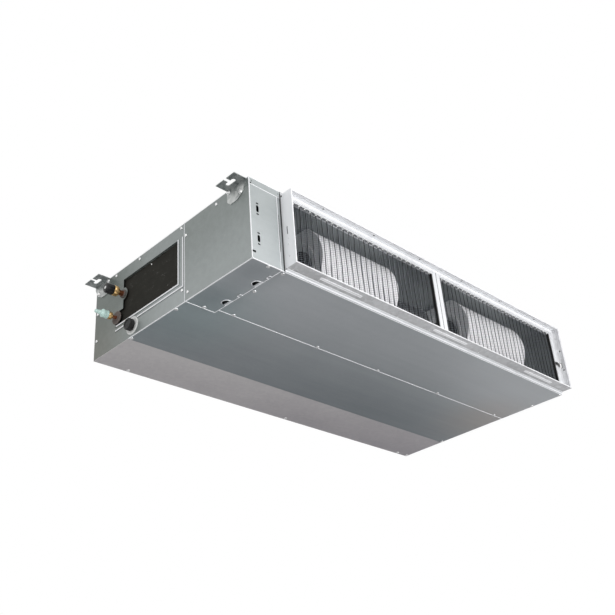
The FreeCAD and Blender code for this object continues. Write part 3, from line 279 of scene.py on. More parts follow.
def join(patches):
    """Several (points, faces) patches as one, each patch's faces shifted by the points before it."""
    counts = np.cumsum([0] + [len(points) for points, _ in patches])
    points = np.vstack([points for points, _ in patches])
    faces = np.vstack([faces + shift for (_, faces), shift in zip(patches, counts)])
    return points, faces


def make(name, patches, slot, body="casing", replaces=()):
    """Puts patches into one mesh object at the origin, merges shared points, turns its faces outwards, and
    keeps its edges sharp from an angle on."""
    points, faces = join(patches)
    mesh = bpy.data.meshes.new(name)
    mesh.vertices.add(len(points))
    mesh.vertices.foreach_set("co", metres(points).astype(np.float32).ravel())
    mesh.loops.add(faces.size)
    mesh.loops.foreach_set("vertex_index", faces.astype(np.int32).ravel())
    mesh.polygons.add(len(faces))
    mesh.polygons.foreach_set("loop_start", np.arange(0, faces.size, 4, dtype=np.int32))
    mesh.update(calc_edges=True)
    work = bmesh.new()
    work.from_mesh(mesh)
    bmesh.ops.remove_doubles(work, verts=work.verts, dist=2e-6)
    bmesh.ops.dissolve_degenerate(work, edges=work.edges, dist=1e-7)
    bmesh.ops.recalc_face_normals(work, faces=work.faces)
    work.to_mesh(mesh)
    work.free()
    mesh.shade_smooth()
    mesh.set_sharp_from_angle(angle=SHARP)
    piece = bpy.data.objects.new(name, mesh)
    bpy.context.scene.collection.objects.link(piece)
    mesh.materials.append(FINISHES[slot].material)
    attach(piece, body)
    if replaces:
        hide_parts(*replaces)


def bead(name, runs, up, width, height, slot):
    """A low rounded bead carried along each run of points, standing on the face whose outward side is up."""
    outline = half_round(width, height)
    make(name, [carried(outline, run, up) for run in runs], slot)


# Materials

# Distance between the bands of a wave texture at a scale of one
BAND = 0.314


def shade(red, green, blue):
    """A linear colour from screen values between 0 and 255."""
    value = np.array([red, green, blue]) / 255.0
    linear = np.where(value <= 0.04045, value / 12.92, ((value + 0.055) / 1.055) ** 2.4)
    return tuple(float(v) for v in linear)


def add_node(tree, kind, sockets=None, **settings):
    """A new shader node with its settings, and each socket given a value or joined to an output."""
    node = tree.nodes.new(kind)
    for name, value in settings.items():
        setattr(node, name, value)
    for name, value in (sockets or {}).items():
        if isinstance(value, bpy.types.NodeSocket):
            tree.links.new(value, node.inputs[name])
        else:
            node.inputs[name].default_value = value
    return node


class Finish:
    """One material. Plain values sit on its shader, and its patterns read Object coordinates in metres."""

    def __init__(self, name, metallic=0.0, roughness=0.5, plain=None):
        self.material = bpy.data.materials.new(name)
        self.material.use_nodes = True
        self.tree = self.material.node_tree
        self.shader = next(node for node in self.tree.nodes if node.type == "BSDF_PRINCIPLED")
        for socket, value in {"Metallic": metallic, "Roughness": roughness, **(plain or {})}.items():
            self.shader.inputs[socket].default_value = value
        FINISHES[name] = self

    def node(self, kind, sockets=None, **settings):
        """A new node of this material."""
        return add_node(self.tree, kind, sockets, **settings)

    def feed(self, output, socket):
        """Joins an output to the shader."""
        self.tree.links.new(output, self.shader.inputs[socket])

    def place(self, stretch=(1, 1, 1), turn=(0, 0, 0)):
        """Object coordinates, turned and then stretched."""
        here = self.node("ShaderNodeTexCoord").outputs["Object"]
        sockets = {"Vector": here, "Scale": stretch, "Rotation": turn}
        return self.node("ShaderNodeMapping", sockets).outputs["Vector"]

    def noise(self, size, detail, stretch=(1, 1, 1), turn=(0, 0, 0)):
        """Soft noise whose blotches measure about size metres."""
        sockets = {"Vector": self.place(stretch, turn), "Scale": 1.0 / size, "Detail": detail}
        return self.node("ShaderNodeTexNoise", sockets).outputs[0]

    def cells(self, size, stretch=(1, 1, 1)):
        """Cells of about size metres."""
        sockets = {"Vector": self.place(stretch), "Scale": 1.0 / size}
        return self.node("ShaderNodeTexVoronoi", sockets).outputs

    def crystals(self, size, stretch=(1, 1, 1)):
        """A random level for each cell, as on a zinc coat."""
        return self.node("ShaderNodeSeparateColor", {0: self.cells(size, stretch)["Color"]}).outputs[0]

    def pores(self, size):
        """Distance to the nearest cell's centre, for foam."""
        return self.cells(size)["Distance"]

    def smooth(self, value, low, high):
        """Runs softly from 0 at one value to 1 at another."""
        sockets = {"Value": value, "From Min": low, "From Max": high}
        return self.node("ShaderNodeMapRange", sockets, interpolation_type="SMOOTHSTEP").outputs[0]

    def slope(self, direction, low, high):
        """Runs from 0 to 1 along a direction, between two distances in metres from the origin."""
        along = self.node("ShaderNodeVectorMath", {0: self.place(), 1: direction}, operation="DOT_PRODUCT")
        return self.smooth(along.outputs["Value"], low, high)

    def spot(self, centre, radius):
        """Runs from 1 at a point to 0 at a distance in metres from it."""
        reach = self.node("ShaderNodeVectorMath", {0: self.place(), 1: centre}, operation="DISTANCE")
        return self.smooth(reach.outputs["Value"], radius, 0.0)

    def lines(self, size, direction, distortion):
        """Even bands, size metres apart, along one direction."""
        sockets = {"Vector": self.place(), "Scale": BAND / size, "Distortion": distortion}
        return self.node("ShaderNodeTexWave", sockets, bands_direction=direction).outputs["Fac"]

    def blend(self, *layers):
        """The sum of patterns round one half: each less a half, times its weight."""
        total = 0.5 - 0.5 * sum(weight for _, weight in layers)
        for value, weight in layers:
            node = self.node("ShaderNodeMath", {0: value, 1: weight, 2: total}, operation="MULTIPLY_ADD")
            total = node.outputs[0]
        return total

    def colour(self, value, *stops):
        """The base colour, from a ramp of (position, colour) stops."""
        node = self.node("ShaderNodeValToRGB", {"Fac": value})
        while len(node.color_ramp.elements) < len(stops):
            node.color_ramp.elements.new(0.5)
        for element, (position, tone) in zip(node.color_ramp.elements, stops):
            element.position = position
            element.color = (*tone, 1.0)
        self.feed(node.outputs["Color"], "Base Color")

    def wash(self, value, tone):
        """Multiplies the base colour by a tone where a pattern is high."""
        factor, first, second, result = 0, 6, 7, 2
        before = self.shader.inputs["Base Color"].links[0].from_socket
        node = self.node("ShaderNodeMix", data_type="RGBA", blend_type="MULTIPLY")
        node.inputs[second].default_value = (*tone, 1.0)
        self.tree.links.new(value, node.inputs[factor])
        self.tree.links.new(before, node.inputs[first])
        self.feed(node.outputs[result], "Base Color")

    def rough(self, value, low, high):
        """Roughness that runs from low to high with a pattern."""
        node = self.node("ShaderNodeMapRange", {"Value": value, "To Min": low, "To Max": high})
        self.feed(node.outputs[0], "Roughness")

    def bump(self, value, depth, strength):
        """Relief of about depth metres."""
        node = self.node("ShaderNodeBump", {"Height": value, "Distance": depth, "Strength": strength})
        self.feed(node.outputs["Normal"], "Normal")


def mix(tone, other, share):
    """A colour part of the way to another."""
    return tuple(float(a + (b - a) * share) for a, b in zip(tone, other))


def darker(tone, share):
    """A colour part of the way to black."""
    return mix(tone, (0.0, 0.0, 0.0), share)


def lighter(tone, share):
    """A colour part of the way to white."""
    return mix(tone, (1.0, 1.0, 1.0), share)


def zinc_sheet(name, stops, metallic=0.55, roughness=(0.34, 0.5), crystal=0.1, cloud=0.3,
               slopes=(), washes=()):
    """Galvanised sheet: zinc crystals, soft clouds, faint rolling streaks along x, a fine grain, and where
    asked changes of tone from place to place, which on several sheets are painted light and shade. The stops
    are (position, colour) pairs from the darkest to the lightest, and each wash is a middle, a reach and a
    tone."""
    finish = Finish(name, metallic)
    crystals = finish.crystals(0.011)
    clouds = finish.noise(0.16, detail=4.0)
    streaks = finish.noise(0.02, stretch=(0.06, 1, 1), detail=2.0)
    grain = finish.noise(0.0016, detail=1.0)
    slow = [(finish.slope(*place), weight) for place, weight in slopes]
    tone = finish.blend((crystals, crystal), (clouds, cloud), (streaks, 0.15), (grain, 0.12), *slow)
    finish.colour(tone, *stops)
    for centre, reach, hue in washes:
        finish.wash(finish.spot(centre, reach), hue)
    finish.rough(finish.blend((clouds, 0.6), (crystals, 0.5)), *roughness)
    finish.bump(finish.blend((grain, 0.5), (clouds, 0.8)), 0.0004, 0.25)


def ground_metal(name, tone, stretch, roughness=(0.25, 0.42)):
    """Turned or drawn metal: fine tool lines and a few stains."""
    finish = Finish(name, 1.0)
    tool = finish.noise(0.0012, stretch=stretch, detail=2.0)
    stains = finish.noise(0.03, detail=4.0)
    value = finish.blend((tool, 0.5), (stains, 0.7))
    finish.colour(value, (0.2, darker(tone, 0.35)), (0.75, tone))
    finish.rough(value, *roughness)
    finish.bump(tool, 0.0001, 0.3)


def moulded(name, tone, roughness=(0.3, 0.45), texture=0.0009, gloss=0.5):
    """Moulded plastic: a fine spark texture and slight flow marks."""
    finish = Finish(name, plain={"Specular IOR Level": gloss})
    spark = finish.noise(texture, detail=2.0)
    flow = finish.noise(0.02, detail=3.0)
    value = finish.blend((flow, 0.8), (spark, 0.3))
    finish.colour(value, (0.25, darker(tone, 0.18)), (0.75, lighter(tone, 0.04)))
    finish.rough(finish.blend((spark, 0.4), (flow, 0.6)), *roughness)
    finish.bump(spark, 0.00012, 0.4)


def cellular(name, tone, size, scratches=0.0):
    """Closed-cell foam: small pores, a mottled skin, and faint pale scratches where asked."""
    finish = Finish(name, roughness=0.9, plain={"Specular IOR Level": 0.25})
    pores = finish.pores(size)
    skin = finish.noise(0.03, detail=5.0)
    marks = finish.noise(0.03, stretch=(1, 0.35, 2.2), detail=6.0, turn=(0.6, 0, 0))
    value = finish.blend((pores, 0.35), (skin, 0.6), (marks, scratches))
    pale = lighter(tone, 0.1 + 0.2 * scratches)
    finish.colour(value, (0.15, darker(tone, 0.4)), (0.68, tone), (0.95, pale))
    finish.bump(finish.blend((pores, 0.8), (skin, 0.5)), 0.0006, 0.5)


class SheetTones(bpy.types.PropertyGroup):
    """Colours of the sheet metal."""
    # The ends and the front are one zinc: the ends' darker tone is painted shade, the front's paler one
    # painted light
    side: FloatVectorProperty(
        name="Ends", description="Darkest green-grey zinc of the ends",
        subtype="COLOR", default=shade(111, 118, 114))
    front: FloatVectorProperty(
        name="Front", description="Palest zinc of the control box's front",
        subtype="COLOR", default=shade(188, 193, 194))
    # Painted shade as well: the underside's range spans a painted gradient of light
    under_dark: FloatVectorProperty(
        name="Underside, dark", description="Darkest blue-grey zinc of the bottom panels",
        subtype="COLOR", default=shade(114, 121, 126))
    under_pale: FloatVectorProperty(
        name="Underside, pale", description="Palest blue-grey zinc of the bottom panels",
        subtype="COLOR", default=shade(186, 189, 192))
    rear_dark: FloatVectorProperty(
        name="Discharge, dark", description="Darkest warm zinc of the rear bottom panel",
        subtype="COLOR", default=shade(162, 157, 162))
    rear_pale: FloatVectorProperty(
        name="Discharge, pale", description="Palest warm zinc of the rear bottom panel",
        subtype="COLOR", default=shade(207, 203, 203))
    bright: FloatVectorProperty(
        name="Collar", description="Bright zinc of the collar and the hems",
        subtype="COLOR", default=shade(248, 248, 250))
    scroll: FloatVectorProperty(
        name="Scrolls", description="Bright zinc of the fan housings",
        subtype="COLOR", default=shade(252, 250, 252))


class NetSizes(bpy.types.PropertyGroup):
    """Sizes of the filter nets."""
    wire: FloatProperty(
        name="Wire", description="Thickness of a net wire in millimetres",
        default=0.7, min=0.1)
    pitch: FloatProperty(
        name="Pitch", description="Distance between net wires in millimetres",
        default=6.0, min=1.0)
    crest: FloatProperty(
        name="Pleat wire", description="Radius of a pleat wire in millimetres",
        default=1.0, min=0.2)
    pleats: FloatProperty(
        name="Pleat pitch", description="Distance between pleat wires in millimetres",
        default=21.0, min=5.0)


class FanSizes(bpy.types.PropertyGroup):
    """Sizes of the fan wheels."""
    blades: IntProperty(name="Blades", description="Blades round each wheel", default=40, min=8)
    sweep: FloatProperty(
        name="Sweep", description="Angle from a blade's root to its tip",
        default=0.16, subtype="ANGLE")


class CoilSizes(bpy.types.PropertyGroup):
    """Sizes of the coil's fins and tubes."""
    fin_pitch: FloatProperty(
        name="Fin pitch", description="Distance between fins in millimetres",
        default=2.4, min=1.0)
    fin: FloatProperty(name="Fin", description="Thickness of a fin in millimetres", default=0.15, min=0.05)
    tube: FloatProperty(name="Tube", description="Radius of a tube in millimetres", default=4.8, min=1.0)


class StageLight(bpy.types.PropertyGroup):
    """Light and camera of the plain studio."""
    sky: FloatProperty(
        name="Sky", description="Strength of the light from all round",
        default=0.45, min=0.0)
    key: FloatProperty(
        name="Key", description="Power of the front lamp",
        default=190.0, min=0.0, unit="POWER")
    fill: FloatProperty(
        name="Fill", description="Power of the side lamp",
        default=38.0, min=0.0, unit="POWER")
    lens: FloatProperty(name="Lens", description="Focal length of the camera", default=52.95, unit="CAMERA")
    heading: FloatProperty(
        name="Heading", description="Camera heading from the airflow towards the plain end",
        default=math.radians(46.44), subtype="ANGLE")
    pitch: FloatProperty(
        name="Pitch", description="Camera tilt above the horizon",
        default=math.radians(29.502), subtype="ANGLE")
    roll: FloatProperty(
        name="Roll", description="Camera turn about its own line of sight",
        default=math.radians(-4.645), subtype="ANGLE")


class UNIT_OT_finishes(bpy.types.Operator):
    """Mix every material and put it on the solids"""
    bl_idname = "unit.finishes"
    bl_label = "Finishes"

    def execute(self, context):
        self.sheets(context.scene.unit_tones)
        ground_metal("screw_steel", shade(250, 250, 250), (1, 1, 1), (0.2, 0.35))
        ground_metal("shaft_steel", shade(190, 190, 192), (1, 0.1, 0.1))
        ground_metal("brass_fitting", shade(252, 212, 148), (1, 0.1, 0.1), (0.32, 0.5))
        ground_metal("copper_tube", shade(214, 138, 100), (0.2, 1, 1), (0.24, 0.42))
        moulded("black_cap", shade(14, 14, 15), (0.3, 0.42), gloss=0.2)
        moulded("mint_cap", shade(210, 240, 232), (0.25, 0.4))
        moulded("white_plastic", shade(248, 248, 246))
        moulded("wheel_plastic", shade(44, 45, 47), (0.4, 0.55))
        moulded("filter_net", shade(136, 141, 148), (0.4, 0.55), 0.0004)
        moulded("motor_paint", shade(40, 41, 44), texture=0.0016)
        cellular("black_rubber", shade(34, 34, 34), 0.0012)
        cellular("dark_foam", shade(46, 45, 40), 0.0022, 0.6)
        cellular("pan_foam", shade(232, 232, 228), 0.0035)
        self.grommets()
        self.satin(shade(240, 241, 243))
        self.fins()
        self.webbing()
        self.board()
        for row in frame["record"]["subparts"]:
            materials = frame["nodes"][row["node"]].data.materials
            materials.clear()
            materials.append(FINISHES[row["material_slot"]].material)
        return {"FINISHED"}

    def sheets(self, tones):
        """The zinc sheets. Each slope is ((direction, from, to), weight) and each wash (middle, reach, tone),
        in
        metres. Much of their tone is painted light and shade. The ends are darker than the control box's
        front:
        painted shade on the ends, painted light on the front, and a painted gradient of light over the ends.
        The underside pales towards the return side in a painted gradient of light and holds two painted
        shadows.
        The collar's lower wall is painted darker than its others, and its left wall lighter."""
        # Painted light and shade: the front lighter than the ends, a painted gradient of light over the ends,
        # and painted light on the strip beside the collar, where the collar's shadow falls
        zinc_sheet(
            "casing_steel", ((0.01, tones.side), (1.0, tones.front)), crystal=0.05, cloud=0.14,
            slopes=((((0, -1, 0), 0.3558, 0.3572), 0.485), (((0, 1, 0), -0.092, -0.09), 0.12),
                    (((0, 1, -0.35), 0.0, 0.4), -0.55), (((0, 0, -1), 0.02, 0.24), 0.26),
                    (((1, 0, 0), -0.6045, -0.6035), 0.2)),
            washes=(((-0.7, 0.34, -0.25), 0.22, (1.0, 0.92, 0.87)),))
        # Painted shade on the underside: a painted gradient of light, palest towards the return side, and two
        # painted shadows near the pipe end
        shadow = (0.72, 0.74, 0.75)
        zinc_sheet(
            "underside_steel", ((0.0, tones.under_dark), (1.0, tones.under_pale)), roughness=(0.3, 0.42),
            crystal=0.05, cloud=0.15,
            slopes=((((0, -1, 0), -0.17, 0.34), 0.62), (((1, 0, 0), -0.7, 0.7), -0.46),
                    (((1, -1, 0), 0.3, 0.8), 0.36), (((1, -0.5, 0), -0.1, 0.5), 0.12),
                    (((0, 0, -1), 0.2, 0.24), 0.28)),
            washes=(((0.65, -0.05, -0.25), 0.26, (1.0, 0.9, 0.84)),
                    ((-0.64, -0.04, -0.25), 0.3, (0.9, 1.0, 0.99)),
                    ((-0.66, -0.31, -0.25), 0.12, shadow), ((-0.66, -0.16, -0.25), 0.12, shadow)))
        zinc_sheet(
            "discharge_steel", ((0.0, tones.rear_dark), (1.0, tones.rear_pale)), crystal=0.2, cloud=0.42,
            slopes=((((-1, 0, 0), -0.7, 0.7), 0.73), (((0, -1, 0), -0.34, -0.17), 0.29)))
        # Painted light and shade on the collar: its lower wall and its right end painted darker, its left
        # wall lighter
        zinc_sheet(
            "bright_steel", ((0.0, darker(tones.bright, 0.58)), (0.45, tones.bright)), 0.12, (0.35, 0.5),
            slopes=((((0, 0, 1), -0.2411, -0.2406), -0.29), (((0, 0, 1), -0.2392, -0.2388), 0.29),
                    (((-1, 0, 0), 0.5885, 0.5895), 0.25), (((1, 0, 0), 0.6965, 0.6985), -0.12)))
        zinc_sheet("scroll_steel", ((0.2, darker(tones.scroll, 0.08)), (0.8, tones.scroll)), 0.05)
        zinc_sheet(
            "hanger_steel", ((0.2, shade(128, 134, 134)), (0.8, shade(206, 208, 206))), 0.7, (0.25, 0.5),
            crystal=0.3, cloud=0.5, slopes=((((0, 0, 1), -0.03, -0.002), -0.22),))

    def grommets(self):
        """Closed-cell foam, black inside the casing and brown-grey on the pipe discs outside it."""
        finish = Finish("black_foam", roughness=0.85, plain={"Specular IOR Level": 0.25})
        pores = finish.pores(0.0018)
        skin = finish.noise(0.02, detail=4.0)
        value = finish.blend((pores, 0.15), (skin, 0.2), (finish.slope((-1, 0, 0), 0.6995, 0.7003), 0.6))
        finish.colour(value, (0.2, shade(34, 34, 34)), (0.4, shade(50, 49, 48)), (0.62, shade(104, 96, 92)),
                      (0.95, shade(128, 119, 114)))
        finish.bump(pores, 0.0005, 0.4)

    def satin(self, tone):
        """Drawn and etched aluminium: long fine lines along the section and a soft haze."""
        finish = Finish("filter_aluminium", 0.35, 0.4)
        drawn = finish.noise(0.0016, stretch=(0.03, 1, 1), detail=2.0)
        haze = finish.noise(0.08, detail=3.0)
        value = finish.blend((drawn, 0.5), (haze, 0.5))
        finish.colour(value, (0.25, darker(tone, 0.12)), (0.75, tone))
        finish.rough(value, 0.32, 0.46)
        finish.bump(drawn, 0.0001, 0.3)

    def fins(self):
        """Thin aluminium with faint ripples and a trace of oil."""
        finish = Finish("fin_aluminium", 0.85, 0.35)
        ripple = finish.lines(0.003, "Z", 1.0)
        oil = finish.noise(0.05, detail=3.0)
        value = finish.blend((ripple, 0.3), (oil, 0.6))
        finish.colour(value, (0.2, shade(168, 172, 176)), (0.8, shade(222, 226, 230)))
        finish.rough(value, 0.26, 0.42)
        finish.bump(ripple, 0.0002, 0.4)

    def webbing(self):
        """Woven black strap: two sets of bands across each other."""
        finish = Finish("strap_webbing", 0.0, 0.8, {"Sheen Weight": 0.3})
        weft = finish.lines(0.0012, "X", 0.4)
        warp = finish.lines(0.0016, "Z", 0.4)
        value = finish.blend((weft, 0.6), (warp, 0.6))
        finish.colour(value, (0.2, shade(12, 12, 13)), (0.8, shade(34, 34, 36)))
        finish.bump(value, 0.0003, 0.8)

    def board(self):
        """Circuit board: green lacquer over square-cornered tracks."""
        finish = Finish("board_green", 0.0, 0.3, {"Coat Weight": 0.3})
        tracks = finish.crystals(0.006, stretch=(1, 0.25, 1))
        fine = finish.crystals(0.003, stretch=(1, 1, 0.2))
        value = finish.blend((tracks, 0.7), (fine, 0.6))
        finish.colour(value, (0.3, shade(18, 74, 44)), (0.55, shade(28, 104, 62)), (0.75, shade(86, 150, 96)))
        finish.bump(value, 0.0002, 0.3)


# How far edge lines stand in from the casing's edges, half the gap between two panels, and the height of the
# top panel's fold over the control box
INSET = 1.0
HALF_GAP = 0.25
TOP_FOLD = 22.0


class UNIT_OT_seams(bpy.types.Operator):
    """Lay the bright folded seams and edges on the casing"""
    bl_idname = "unit.seams"
    bl_label = "Seams and folded edges"

    def execute(self, context):
        front = extent("fan_section_bottom_panel")
        pan = extent("drain_pan_cover")
        cover = extent("control_box_bottom_cover")
        shell = extent("control_box_shell")
        fold = extent("top_panel")[1][2] - TOP_FOLD
        seam = front[1][1] + HALF_GAP
        back = pan[1][1] + HALF_GAP
        step = cover[1][1] + HALF_GAP
        side = cover[1][0] + HALF_GAP
        end = front[1][0]
        box_x = shell[1][0]
        box_y = shell[1][1] + 0.5
        collar_x = box_x + 4
        top = HEIGHT - INSET
        rear = DEPTH - INSET
        bead("underside_seams", [
            [[side + 1, seam, 0], [end, seam, 0]],
            [[0, step, 0], [side, step, 0]],
            [[side, 0.5, 0], [side, step, 0]],
        ], -Z, 2.4, 0.9, "bright_steel")
        bead("underside_edges", [
            [[INSET, 0, 0], [INSET, back, 0]],
            [[INSET, INSET, 0], [box_x, INSET, 0]],
            [[collar_x, INSET, 0], [end, INSET, 0]],
            [[end - INSET, INSET, 0], [end - INSET, rear, 0]],
        ], -Z, 2.0, 0.7, "bright_steel")
        self.rims(side)
        bead("pipe_end_seams", [
            [[0, box_y, INSET], [0, box_y, top]],
            [[0, INSET, INSET], [0, INSET, top]],
            [[0, INSET, INSET], [0, back, INSET]],
            [[0, INSET, top], [0, rear, top]],
        ], -X, 1.9, 0.6, "bright_steel")
        bead("control_box_seams", [
            [[INSET, 0, INSET], [INSET, 0, top]],
            [[INSET, 0, INSET], [box_x, 0, INSET]],
            [[INSET, 0, fold], [box_x, 0, fold]],
            [[box_x - 10.6, 0, INSET], [box_x - 10.6, 0, fold]],
            [[INSET, 0, top], [box_x, 0, top]],
        ], -Y, 1.7, 0.6, "bright_steel")
        # A black strip down the gap between the control box and the collar: painted shadow where the gap
        # falls in shade
        gap = [[box_x + 2.3, 0.2, 6], [box_x + 2.3, 0.2, 244]]
        bead("collar_gap_shadow", [gap], -Y, 2.6, 0.3, "black_cap")
        gap = [[box_x - 7.7, 0, 56], [box_x - 7.7, 0, 171]]
        bead("control_box_gap", [gap], -Y, 0.9, 0.3, "black_rubber")
        plug = screw_head(np.array([5.2, 0.0, 231.0]), -Y, 2.8, 0.4, 12)
        make("control_box_plug", [plug], "black_rubber")
        lip = [[collar_x, 0, 6.2], [end, 0, 6.2]]
        bead("underside_front_lip", [lip], -Y, 5.6, 0.9, "filter_aluminium")
        return {"FINISHED"}

    def rims(self, side):
        """A rolled rim round each cable hole, x = centre + R cos a and y = centre + R sin a over the half
        turn away from the seam and straight back; a second fold beside it; and the rims of the two hooks."""
        high = extent("control_box_bottom_cover")[1]
        deep = high[1] + 2.0
        a = np.linspace(np.pi / 2, 3 * np.pi / 2, 17)
        centre = high[0] - 9.0
        radius = 13.6
        fold = centre + 6.0
        runs = []
        for y in (0.32 * deep, 0.77 * deep):
            arc = grid(centre + radius * np.cos(a), y + radius * np.sin(a), 0.0)
            straight = [[centre + 2.0, y - radius, 0], [centre + 2.0, y + radius, 0]]
            runs += [np.vstack([arc, straight]),
                     [[fold, y - 14.5, 0], [fold, y + 12.5, 0]],
                     [[side - 1.0, y - 16.0, 0], [fold, y - 14.5, 0]],
                     [[side - 1.0, y + 14.5, 0], [fold, y + 12.5, 0]]]
        bead("cable_hole_rims", runs, -Z, 2.0, 1.1, "bright_steel")
        tabs = []
        for y in (0.16 * deep, 0.585 * deep):
            near, far = y - 6.0, y + 6.0
            tabs.append(grid((side, side - 9.0, side - 9.0, side), (near, near, far, far), -1.0))
        bead("cover_hook_rims", tabs, -Z, 1.8, 0.9, "bright_steel")


# How far the foam panel laps behind the window, and the run along y where the lower ridge is left out
FOAM_LAP = 8.0
RIDGE_BREAK = (484.0, 530.0)


class UNIT_OT_window(bpy.types.Operator):
    """Trim the service window with its bright double fold"""
    bl_idname = "unit.window"
    bl_label = "Service window"

    def execute(self, context):
        low, high = extent("window_foam_panel")
        front = low[1] + FOAM_LAP
        notch = high[1] - FOAM_LAP
        floor = low[2] + FOAM_LAP
        top = high[2] - FOAM_LAP
        near = front - 2.5
        far = front - 22.5
        upper = floor - 2.5
        lower = floor - 16.5
        bead("window_ridges", [
            [[-1.5, near, top], [-1.5, near, upper], [-1.5, notch - 6.0, upper]],
            [[-1.5, far, top], [-1.5, far, lower], [-1.5, RIDGE_BREAK[0], lower]],
            [[-1.5, RIDGE_BREAK[1], lower], [-1.5, notch - 2.0, lower]],
        ], -X, 4.6, 0.5, "bright_steel")
        inner = [[0.0, front - 0.6, top], [0.0, front - 0.6, floor - 0.6], [0.0, notch - 50.0, floor - 0.6]]
        bead("window_fold", [inner], -X, 1.4, 0.6, "bright_steel")
        heads = [screw_head(np.array([6.9, front + y, floor + z]), -X, 2.4, 1.1)
                 for y, z in ((180, 173), (131, 132), (134, 2))]
        make("foam_pins", heads, "screw_steel")
        return {"FINISHED"}


def square_to(axis):
    """Two directions square to an axis and to each other."""
    side = Z if abs(axis[2]) < 0.5 else X
    return side, np.cross(axis, side)


def hexagon(a, width):
    """Radius of a hexagon of a width across its flats: width / 2 / cos(a - nearest flat)."""
    return width / 2 / np.cos((a + np.pi / 6) % (np.pi / 3) - np.pi / 6)


def screw_head(centre, axis, radius, height, sides=20):
    """A pan head with a cross recess: height (1 - rho^4)^(1/2), less a dent where either diagonal is near.
    The rim drops straight to the face."""
    rho = np.array([0.0, 0.16, 0.3, 0.44, 0.58, 0.72, 0.86, 0.95, 1.0])[:, None]
    a = round_turn(sides)[None, :]
    u = rho * np.cos(a)
    v = rho * np.sin(a)
    dome = height * (0.35 + 0.65 * np.sqrt(np.clip(1 - rho ** 4, 0, 1)))
    cross = np.exp(-(np.minimum(abs(u), abs(v)) / 0.13) ** 4) * (rho < 0.6)
    lift = dome - 0.45 * height * cross
    side, other = square_to(axis)
    points = centre + lift[..., None] * axis + radius * (u[..., None] * side + v[..., None] * other)
    foot = points[-1:] - 0.35 * height * axis - 0.05 * axis
    base = np.broadcast_to(foot.mean(axis=1, keepdims=True), foot.shape)
    return sheets(np.concatenate([points, foot, base])[None], around=True)


def hex_head(centre, axis, width, height, flange):
    """A six-sided head with a chamfered top: a hexagon held under a cone near the top, on a round flange."""
    a = round_turn(60)
    flat = hexagon(a, width)
    rows = [(level, np.full_like(a, radius))
            for level, radius in ((-0.05, flange), (0.12, flange), (0.22, flange * 0.9))]
    rows.append((0.25, flat))
    rows += [(level, np.minimum(flat, width * (0.575 - cut)))
             for level, cut in ((0.72, 0.0), (0.86, 0.05), (1.0, 0.13), (1.0, 0.4))]
    side, other = square_to(axis)
    circle = np.cos(a)[:, None] * side + np.sin(a)[:, None] * other
    points = np.array([centre + level * height * axis + radius[:, None] * circle for level, radius in rows])
    return sheets(shut(points)[None], around=True)


def end_seats(node):
    """The middle of its seat and its outward direction, for each separate solid on the casing's ends."""
    for low, high in islands(node):
        left = high[0] < LENGTH / 2
        middle = (low + high) / 2
        middle[0] = high[0] if left else low[0]
        yield middle, -X if left else X


class UNIT_OT_fasteners(bpy.types.Operator):
    """Turn the screws and bolts with their heads"""
    bl_idname = "unit.fasteners"
    bl_label = "Screws and bolts"

    def execute(self, context):
        bottom = [screw_head(np.array([*(low[:2] + high[:2]) / 2, high[2]]), -Z, 5.4, 2.3)
                  for low, high in islands("bottom_screws")]
        make("bottom_screw_heads", bottom, "screw_steel", replaces=("bottom_screws",))
        ends = [screw_head(middle, out, 4.5, 2.3) for middle, out in end_seats("end_screws")]
        make("end_screw_heads", ends, "screw_steel", replaces=("end_screws",))
        bolts = [hex_head(middle, out, 9.5, 3.9, 6.2) for middle, out in end_seats("bracket_bolts")]
        make("bracket_bolt_heads", bolts, "screw_steel", replaces=("bracket_bolts",))
        return {"FINISHED"}


# The return collar's sheet, its duct screws' pitch, and its pressed bars' drop, pitch and half length
WALL = 1.2
DUCT_SCREW_PITCH = 205.0
PAD_DROP = 1.5
PAD_PITCH = 465.0
PAD_HALF = 77.5


